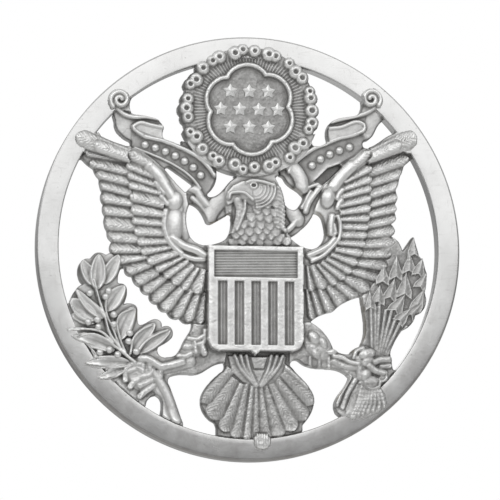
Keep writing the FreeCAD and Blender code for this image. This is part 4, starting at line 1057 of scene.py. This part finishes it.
def noise(tree, scale, detail=4.0, roughness=0.6, stretch=None):
    """A noise whose scale is features per metre."""
    coordinates = tree.nodes.new("ShaderNodeTexCoord")
    source = coordinates.outputs["Object"]
    if stretch:
        mapping = tree.nodes.new("ShaderNodeMapping")
        mapping.inputs["Scale"].default_value = stretch
        tree.links.new(source, mapping.inputs["Vector"])
        source = mapping.outputs["Vector"]
    node = tree.nodes.new("ShaderNodeTexNoise")
    node.inputs["Scale"].default_value = scale
    node.inputs["Detail"].default_value = detail
    node.inputs["Roughness"].default_value = roughness
    tree.links.new(source, node.inputs["Vector"])
    return node.outputs["Fac"]


def spread(tree, value, low, high, to_low=0.0, to_high=1.0):
    """A value stretched from one range to another."""
    node = tree.nodes.new("ShaderNodeMapRange")
    limits = {"From Min": low, "From Max": high, "To Min": to_low, "To Max": to_high}
    for name, limit in limits.items():
        node.inputs[name].default_value = limit
    tree.links.new(value, node.inputs["Value"])
    return node.outputs["Result"]


def maths(tree, kind, a, b):
    """Arithmetic on two values, each a number or a socket."""
    node = tree.nodes.new("ShaderNodeMath")
    node.operation = kind
    for socket, value in zip(node.inputs, (a, b)):
        if isinstance(value, (int, float)):
            socket.default_value = value
        else:
            tree.links.new(value, socket)
    return node.outputs["Value"]


def blend_colour(tree, factor, a, b):
    """The colour a where the factor is 0, and b where it is 1."""
    node = tree.nodes.new("ShaderNodeMix")
    node.data_type = "RGBA"
    tree.links.new(factor, node.inputs["Factor"])
    for name, colour in (("A", a), ("B", b)):
        socket = [s for s in node.inputs if s.name == name and s.type == "RGBA"][0]
        socket.default_value = (*colour, 1)
    return [s for s in node.outputs if s.type == "RGBA"][0]


def finish_metal(tree, shader, colour, rough, height, distance, strength):
    """A bare metal's colour and roughness, and its finest marks as bumps."""
    tree.links.new(colour, shader.inputs["Base Color"])
    tree.links.new(rough, shader.inputs["Roughness"])
    shader.inputs["Metallic"].default_value = 1.0
    node = tree.nodes.new("ShaderNodeBump")
    node.inputs["Strength"].default_value = strength
    node.inputs["Distance"].default_value = distance
    tree.links.new(height, node.inputs["Height"])
    tree.links.new(node.outputs["Normal"], shader.inputs["Normal"])


def silver_relief():
    """Satin silver plate, darkened by tarnish where the relief is low, and by painted shade in the hollow
    under the right band.
    """
    material, tree, shader = new_material("oxidised_silver")
    tarnish_and_shade_node = tree.nodes.new("ShaderNodeAttribute")
    tarnish_and_shade_node.attribute_name = "tarnish_and_shade"
    patches = noise(tree, 900, 5)
    grain = noise(tree, 9000, 6, 0.7)
    wobble = maths(tree, "MULTIPLY", maths(tree, "SUBTRACT", patches, 0.5), 0.35)
    speckle = maths(tree, "MULTIPLY", maths(tree, "SUBTRACT", grain, 0.5), 0.4)
    amount = maths(tree, "ADD", tarnish_and_shade_node.outputs["Fac"], maths(tree, "ADD", wobble, speckle))
    factor = spread(tree, amount, 0.12, 1.05)
    colour = blend_colour(tree, factor, (0.90, 0.90, 0.89), (0.25, 0.246, 0.24))
    rough = spread(tree, factor, 0.0, 1.0, 0.36, 0.62)
    finish_metal(tree, shader, colour, rough, grain, 0.00003, 0.5)
    return material


def silver_rim():
    """Polished silver plate with hairline scratches and small dings. Painted shade darkens the lower part,
    broken into mottled scuffs, and more so near its outer edge."""
    material, tree, shader = new_material("rim_silver")
    patches = noise(tree, 260, 4)
    hairlines = noise(tree, 700, 2, 0.4, stretch=(1.0, 1.0, 7.0))
    other_hairlines = noise(tree, 620, 2, 0.4, stretch=(6.0, 1.0, 2.0))
    specks = noise(tree, 2600, 2, 0.4)
    marks = maths(tree, "ADD", spread(tree, hairlines, 0.62, 0.7), spread(tree, other_hairlines, 0.63, 0.7))
    spots = maths(tree, "MULTIPLY", spread(tree, specks, 0.72, 0.8), 0.6)
    factor = maths(tree, "MINIMUM", maths(tree, "ADD", maths(tree, "MULTIPLY", marks, 0.12), spots), 1.0)
    shade = maths(tree, "ADD", maths(tree, "MULTIPLY", spread(tree, patches, 0.35, 0.75), 0.12), factor)
    place = tree.nodes.new("ShaderNodeTexCoord")
    split = tree.nodes.new("ShaderNodeSeparateXYZ")
    tree.links.new(place.outputs["Object"], split.inputs["Vector"])
    # Painted shade: darker towards the bottom of the ring, mottled like scuffs.
    low = spread(tree, split.outputs["Z"], 0.002, -0.014)
    scuffs_and_shade = spread(tree, noise(tree, 420, 5, 0.7), 0.42, 0.62, 0.0, 0.34)
    shade = maths(tree, "ADD", shade, maths(tree, "MULTIPLY", low, scuffs_and_shade))
    radius = tree.nodes.new("ShaderNodeVectorMath")
    radius.operation = "LENGTH"
    tree.links.new(place.outputs["Object"], radius.inputs[0])
    # Painted shade along the outer edge at the bottom, where the side wall lies in shade.
    edge_shade = spread(tree, radius.outputs["Value"], (RIM_RADIUS - 0.25) * MM, RIM_RADIUS * MM, 0.0, 0.9)
    shade = maths(tree, "ADD", shade, maths(tree, "MULTIPLY", low, edge_shade))
    colour = blend_colour(tree, maths(tree, "MINIMUM", shade, 1.0), (0.655, 0.655, 0.65), (0.34, 0.33, 0.32))
    rough = spread(tree, patches, 0.3, 0.8, 0.2, 0.3)
    height = maths(tree, "SUBTRACT", 0.5, maths(tree, "MULTIPLY", factor, 0.5))
    finish_metal(tree, shader, colour, rough, height, 0.00002, 0.5)
    return material


def plated(name, bright, dark, smoothest):
    """Turned and plated or bare brass, with tool marks and grime."""
    material, tree, shader = new_material(name)
    patches = noise(tree, 700, 5)
    lines = noise(tree, 900, 3, 0.5, stretch=(1.0, 14.0, 1.0))
    factor = maths(tree, "MULTIPLY", spread(tree, patches, 0.4, 0.75), 0.7)
    colour = blend_colour(tree, factor, bright, dark)
    rough = spread(tree, patches, 0.3, 0.8, smoothest, smoothest + 0.2)
    finish_metal(tree, shader, colour, rough, lines, 0.00003, 0.35)
    return material


relief_silver = silver_relief()
rim_silver = silver_rim()
nickel = plated("nickel_plate", (0.75, 0.73, 0.69), (0.42, 0.39, 0.34), 0.28)
washer_brass = plated("washer_brass", (0.80, 0.62, 0.30), (0.42, 0.28, 0.12), 0.34)
nut_brass = plated("nut_brass", (0.84, 0.66, 0.33), (0.45, 0.31, 0.14), 0.26)


# ---------------------------------------------------------------- building

def make_rim():
    """The ring: a nearly flat face between two rounded edges."""
    bevel, inner_bevel, crown, chamfer = 0.22, 0.15, 0.015, 0.12
    profile = [(RIM_BORE, 0.0), (RIM_BORE, -RIM_DEPTH + inner_bevel)]
    for angle in np.radians(range(15, 91, 15)):
        profile.append((
            RIM_BORE + inner_bevel * (1 - math.cos(angle)),
            -RIM_DEPTH + inner_bevel * (1 - math.sin(angle)),
        ))
    for share in (0.2, 0.4, 0.6, 0.8):
        radius = RIM_BORE + inner_bevel + share * (RIM_RADIUS - RIM_BORE - inner_bevel - bevel)
        profile.append((radius, -RIM_DEPTH - crown * math.sin(math.pi * share)))
    for angle in np.radians(range(0, 91, 10)):
        profile.append((
            RIM_RADIUS - bevel * (1 - math.sin(angle)), -RIM_DEPTH + bevel * (1 - math.cos(angle)),
        ))
    profile += [(RIM_RADIUS, -chamfer), (RIM_RADIUS - chamfer, 0.0)]
    rim = turned("rim_band", profile, 720)
    smooth_by_angle(rim, 40)
    finish_piece(rim, rim_silver, ROOT_BODY, "rim_ring")


def make_berries():
    """Each berry is a round stud with a domed head."""
    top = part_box("branch_berries")[0].y / MM
    radius, sunk = 0.38, 0.5 * top
    profile = [(0.0, sunk), (radius, sunk), (radius, top + radius)]
    for angle in np.radians(range(10, 91, 10)):
        profile.append((radius * math.cos(angle), top + radius * (1 - math.sin(angle))))
    centres = solid_centres("branch_berries")
    berries = join([turned(f"berry_{k}", profile, 32, centre) for k, centre in enumerate(centres)], "berries")
    shade_by_height(berries, top, top + 0.5)
    finish_piece(berries, relief_silver, ROOT_BODY, "branch_berries")


def join(parts, name):
    """Joins objects into one."""
    bpy.ops.object.select_all(action="DESELECT")
    for part in parts:
        part.select_set(True)
    bpy.context.view_layer.objects.active = parts[0]
    bpy.ops.object.join()
    joined = bpy.context.view_layer.objects.active
    joined.name = name
    joined.data.name = name
    return joined


def shade_by_height(obj, top, bottom):
    """Tarnish that grows from the crest, at y = top, to the foot."""
    y = np.array([v.co.y for v in obj.data.vertices]) / MM
    set_tarnish_and_shade(obj, np.clip((y - top) / (bottom - top), 0, 1) ** 0.8 * 0.6)


def make_stars():
    """Five-pointed studs with a raised middle and a ridge to each point."""
    low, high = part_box("glory_stars")
    top, foot = low.y / MM, high.y / MM + 0.15
    outer, inner_share, drop = 0.77, 0.57, 0.03
    points, faces = [], []
    for x, z in solid_centres("glory_stars"):
        start = len(points)
        outline = []
        for k in range(10):
            radius = outer * (inner_share if k % 2 else 1.0)
            angle = math.radians(90 + 36 * k)
            outline.append((x + radius * math.cos(angle), z - drop + radius * math.sin(angle)))
        points += [(px, foot, pz) for px, pz in outline]
        points += [(px, top + 0.08, pz) for px, pz in outline]
        points += [(x, top - 0.08, z - drop), (x, foot, z - drop)]
        for k in range(10):
            j = (k + 1) % 10
            faces.append((start + k, start + j, start + 10 + j, start + 10 + k))
            faces.append((start + 10 + k, start + 10 + j, start + 20))
            faces.append((start + j, start + k, start + 21))
    stars = make_object("stars", np.multiply(points, MM), faces, smooth=False)
    shade_by_height(stars, top + 0.1, high.y / MM)
    finish_piece(stars, relief_silver, ROOT_BODY, "glory_stars")


def node_size(node):
    """The node's middle (x, z), its near and far y and its radius, in millimetres."""
    low, high = (np.array(c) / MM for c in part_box(node))
    return ((low[0] + high[0]) / 2, (low[2] + high[2]) / 2), low[1], high[1], (high[0] - low[0]) / 2


def make_post():
    """The screw post: a round foot in a fillet of solder, a small fillet above it, and a cut thread."""
    centre, near, far, foot = node_size("screw_post")
    shank, pitch, thread_depth = 1.75, 0.794, 0.42
    start, end = near + 1.3, far - 0.45

    def thread(angle, radius, y):
        """The radius on a V thread that runs out at both ends."""
        if not start <= y <= end or radius < 1.0:
            return radius
        phase = (y / pitch - angle / (2 * math.pi)) % 1.0
        tooth = abs(2 * phase - 1)
        fade = min(1.0, (y - start) / 0.5, (end - y) / 0.3)
        return radius - thread_depth * fade * min(1.0, max(0.0, 1.15 * tooth - 0.05))

    profile = [(0.0, near), (foot + 0.25, near), (foot + 0.05, near + 0.15), (foot, near + 0.5),
               (foot - 0.1, near + 0.6), (shank + 0.22, near + 0.6), (shank + 0.06, near + 0.68),
               (shank, near + 0.84)]
    profile += [(shank, y) for y in np.arange(start, end, pitch / 12)]
    profile += [(shank, end), (shank, far - 0.4), (shank - 0.4, far), (0.0, far)]
    post = turned("post", profile, 72, centre, thread)
    smooth_by_angle(post, 50)
    finish_piece(post, nickel, ROOT_BODY, "screw_post")


def make_pins():
    """Each locating pin: a drawn wire with a ground point, in a cone of solder."""
    for side in ("left", "right"):
        centre, near, far, radius = node_size("locating_pin_" + side)
        solder = [(0.45, 0.0), (0.2, 0.12), (0.05, 0.35), (0.0, 0.6)]
        profile = [(0.0, near)] + [(radius + out, near + up) for out, up in solder]
        profile += [(radius, far - 0.9), (radius - 0.05, far - 0.8), (0.12, far - 0.05), (0.06, far),
                    (0.0, far)]
        pin = turned("pin_" + side, profile, 40, centre)
        smooth_by_angle(pin, 40)
        finish_piece(pin, nickel, ROOT_BODY, "locating_pin_" + side)


BORE = 1.8


def make_washer():
    """The keeper washer: a flat ring with softened edges."""
    centre, near, far, radius = node_size("keeper_washer")
    edge = 0.12
    profile = [(BORE, near + edge / 2), (BORE + edge / 2, near), (radius - edge, near),
               (radius - 0.03, near + 0.06), (radius, near + edge), (radius, far - edge),
               (radius - 0.03, far - 0.06), (radius - edge, far), (BORE + edge / 2, far),
               (BORE, far - edge / 2)]
    washer = turned("washer", profile, 128, centre)
    smooth_by_angle(washer, 40)
    finish_piece(washer, washer_brass, "keeper", "keeper_washer")


NOTCHES = 24


def make_nut():
    """The clamp nut: a round, notched grip with broken edges, a low boss and a tapped bore."""
    centre, near, far, _ = node_size("clamp_nut")
    radius, boss, shoulder = 5.0, 3.2, far - 0.6
    notch_half, notch_depth = math.radians(4.6), 0.27

    def notched(angle, at, _):
        """The radius on the grip's edge, less in each round notch."""
        if at < radius - 0.5:
            return at
        pitch = 2 * math.pi / NOTCHES
        offset = abs((angle + pitch / 2) % pitch - pitch / 2) / notch_half
        return at - notch_depth * math.sqrt(max(0.0, 1 - offset ** 2))

    grip = [(0.6, 0.0), (0.3, 0.02), (0.08, 0.1), (0.0, 0.28)]
    profile = [(BORE, near + 0.25), (BORE + 0.25, near)]
    profile += [(radius - inset, near + drop) for inset, drop in grip]
    profile += [(radius - inset, shoulder - drop) for inset, drop in reversed(grip)]
    profile += [(boss + 0.12, shoulder), (boss, shoulder + 0.1), (boss, far - 0.18),
                (boss - 0.05, far - 0.06), (boss - 0.18, far), (BORE + 0.25, far), (BORE, far - 0.25)]
    nut = turned("nut", profile, NOTCHES * 16, centre, notched)
    smooth_by_angle(nut, 32)
    finish_piece(nut, nut_brass, "nut", "clamp_nut")


for number, node in enumerate(figures):
    if node not in studs:
        make_figure(node, number)
make_rim()
make_berries()
make_stars()
make_post()
make_pins()
make_washer()
make_nut()


# ---------------------------------------------------------------- stage

def make_camera():
    """The photograph's view, from far off, a little to the left of the middle and below it."""
    azimuth, elevation, distance = math.radians(-8), math.radians(-7), 0.45
    field = 0.0521
    level = math.cos(elevation)
    back = Vector((math.sin(azimuth) * level, -math.cos(azimuth) * level, math.sin(elevation)))
    data = bpy.data.cameras.new("camera")
    data.sensor_width = 36
    data.lens = data.sensor_width * distance / field
    data.clip_start, data.clip_end = 0.01, 10
    camera = bpy.data.objects.new("camera", data)
    target = Vector((0.0002, -0.001, -0.0001))
    camera.location = target + back * distance
    camera.rotation_mode = "QUATERNION"
    camera.rotation_quaternion = (-back).to_track_quat("-Z", "Y")
    bpy.context.scene.collection.objects.link(camera)
    bpy.context.scene.camera = camera


def make_light(name, place, size, radiance, target=(0, 0, 0)):
    """A soft panel of that radiance, turned to its target, that the camera itself doesn't see."""
    data = bpy.data.lights.new(name, "AREA")
    data.shape = "RECTANGLE"
    data.size, data.size_y = size
    data.energy = radiance * math.pi * size[0] * size[1]
    light = bpy.data.objects.new(name, data)
    light.location = place
    light.visible_camera = False
    light.rotation_mode = "QUATERNION"
    light.rotation_quaternion = (Vector(target) - Vector(place)).to_track_quat("-Z", "Y")
    bpy.context.scene.collection.objects.link(light)


def make_world():
    """White to the eye, and paler above than below where the metal mirrors it."""
    world = bpy.data.worlds.new("world")
    bpy.context.scene.world = world
    world.use_nodes = True
    tree = world.node_tree
    tree.nodes.clear()
    output = tree.nodes.new("ShaderNodeOutputWorld")
    mix = tree.nodes.new("ShaderNodeMixShader")
    path = tree.nodes.new("ShaderNodeLightPath")
    seen = tree.nodes.new("ShaderNodeBackground")
    seen.inputs["Color"].default_value = (1, 1, 1, 1)
    seen.inputs["Strength"].default_value = 1.0
    lit = tree.nodes.new("ShaderNodeBackground")
    coordinates = tree.nodes.new("ShaderNodeTexCoord")
    split = tree.nodes.new("ShaderNodeSeparateXYZ")
    tree.links.new(coordinates.outputs["Generated"], split.inputs["Vector"])
    ramp = spread(tree, split.outputs["Z"], -0.45, 0.7, 0.08, 0.68)
    tree.links.new(ramp, lit.inputs["Strength"])
    lit.inputs["Color"].default_value = (1, 1, 1, 1)
    tree.links.new(path.outputs["Is Camera Ray"], mix.inputs["Fac"])
    tree.links.new(lit.outputs["Background"], mix.inputs[1])
    tree.links.new(seen.outputs["Background"], mix.inputs[2])
    tree.links.new(mix.outputs["Shader"], output.inputs["Surface"])


def make_floor():
    """A plain pale floor, well below the badge."""
    half, height = 1.5, -0.25
    corners = [(x, y, height) for x, y in ((-half, -half), (half, -half), (half, half), (-half, half))]
    floor = make_object("floor", corners, [(0, 1, 2, 3)])
    material, tree, shader = new_material("floor")
    pale = blend_colour(tree, noise(tree, 30, 3), (0.86, 0.86, 0.85), (0.90, 0.90, 0.90))
    tree.links.new(pale, shader.inputs["Base Color"])
    shader.inputs["Roughness"].default_value = 0.9
    floor.data.materials.append(material)


make_camera()
make_light("key", (0.01, -0.16, 0.066), (0.20, 0.118), 1.0, target=(0.01, 0, 0.02))
make_light("side", (-0.30, -0.20, 0.22), (0.20, 0.20), 1.2)
make_light("back", (0.10, 0.35, 0.20), (0.3, 0.3), 1.0)
make_world()
make_floor()
bpy.context.scene.view_settings.view_transform = "Standard"
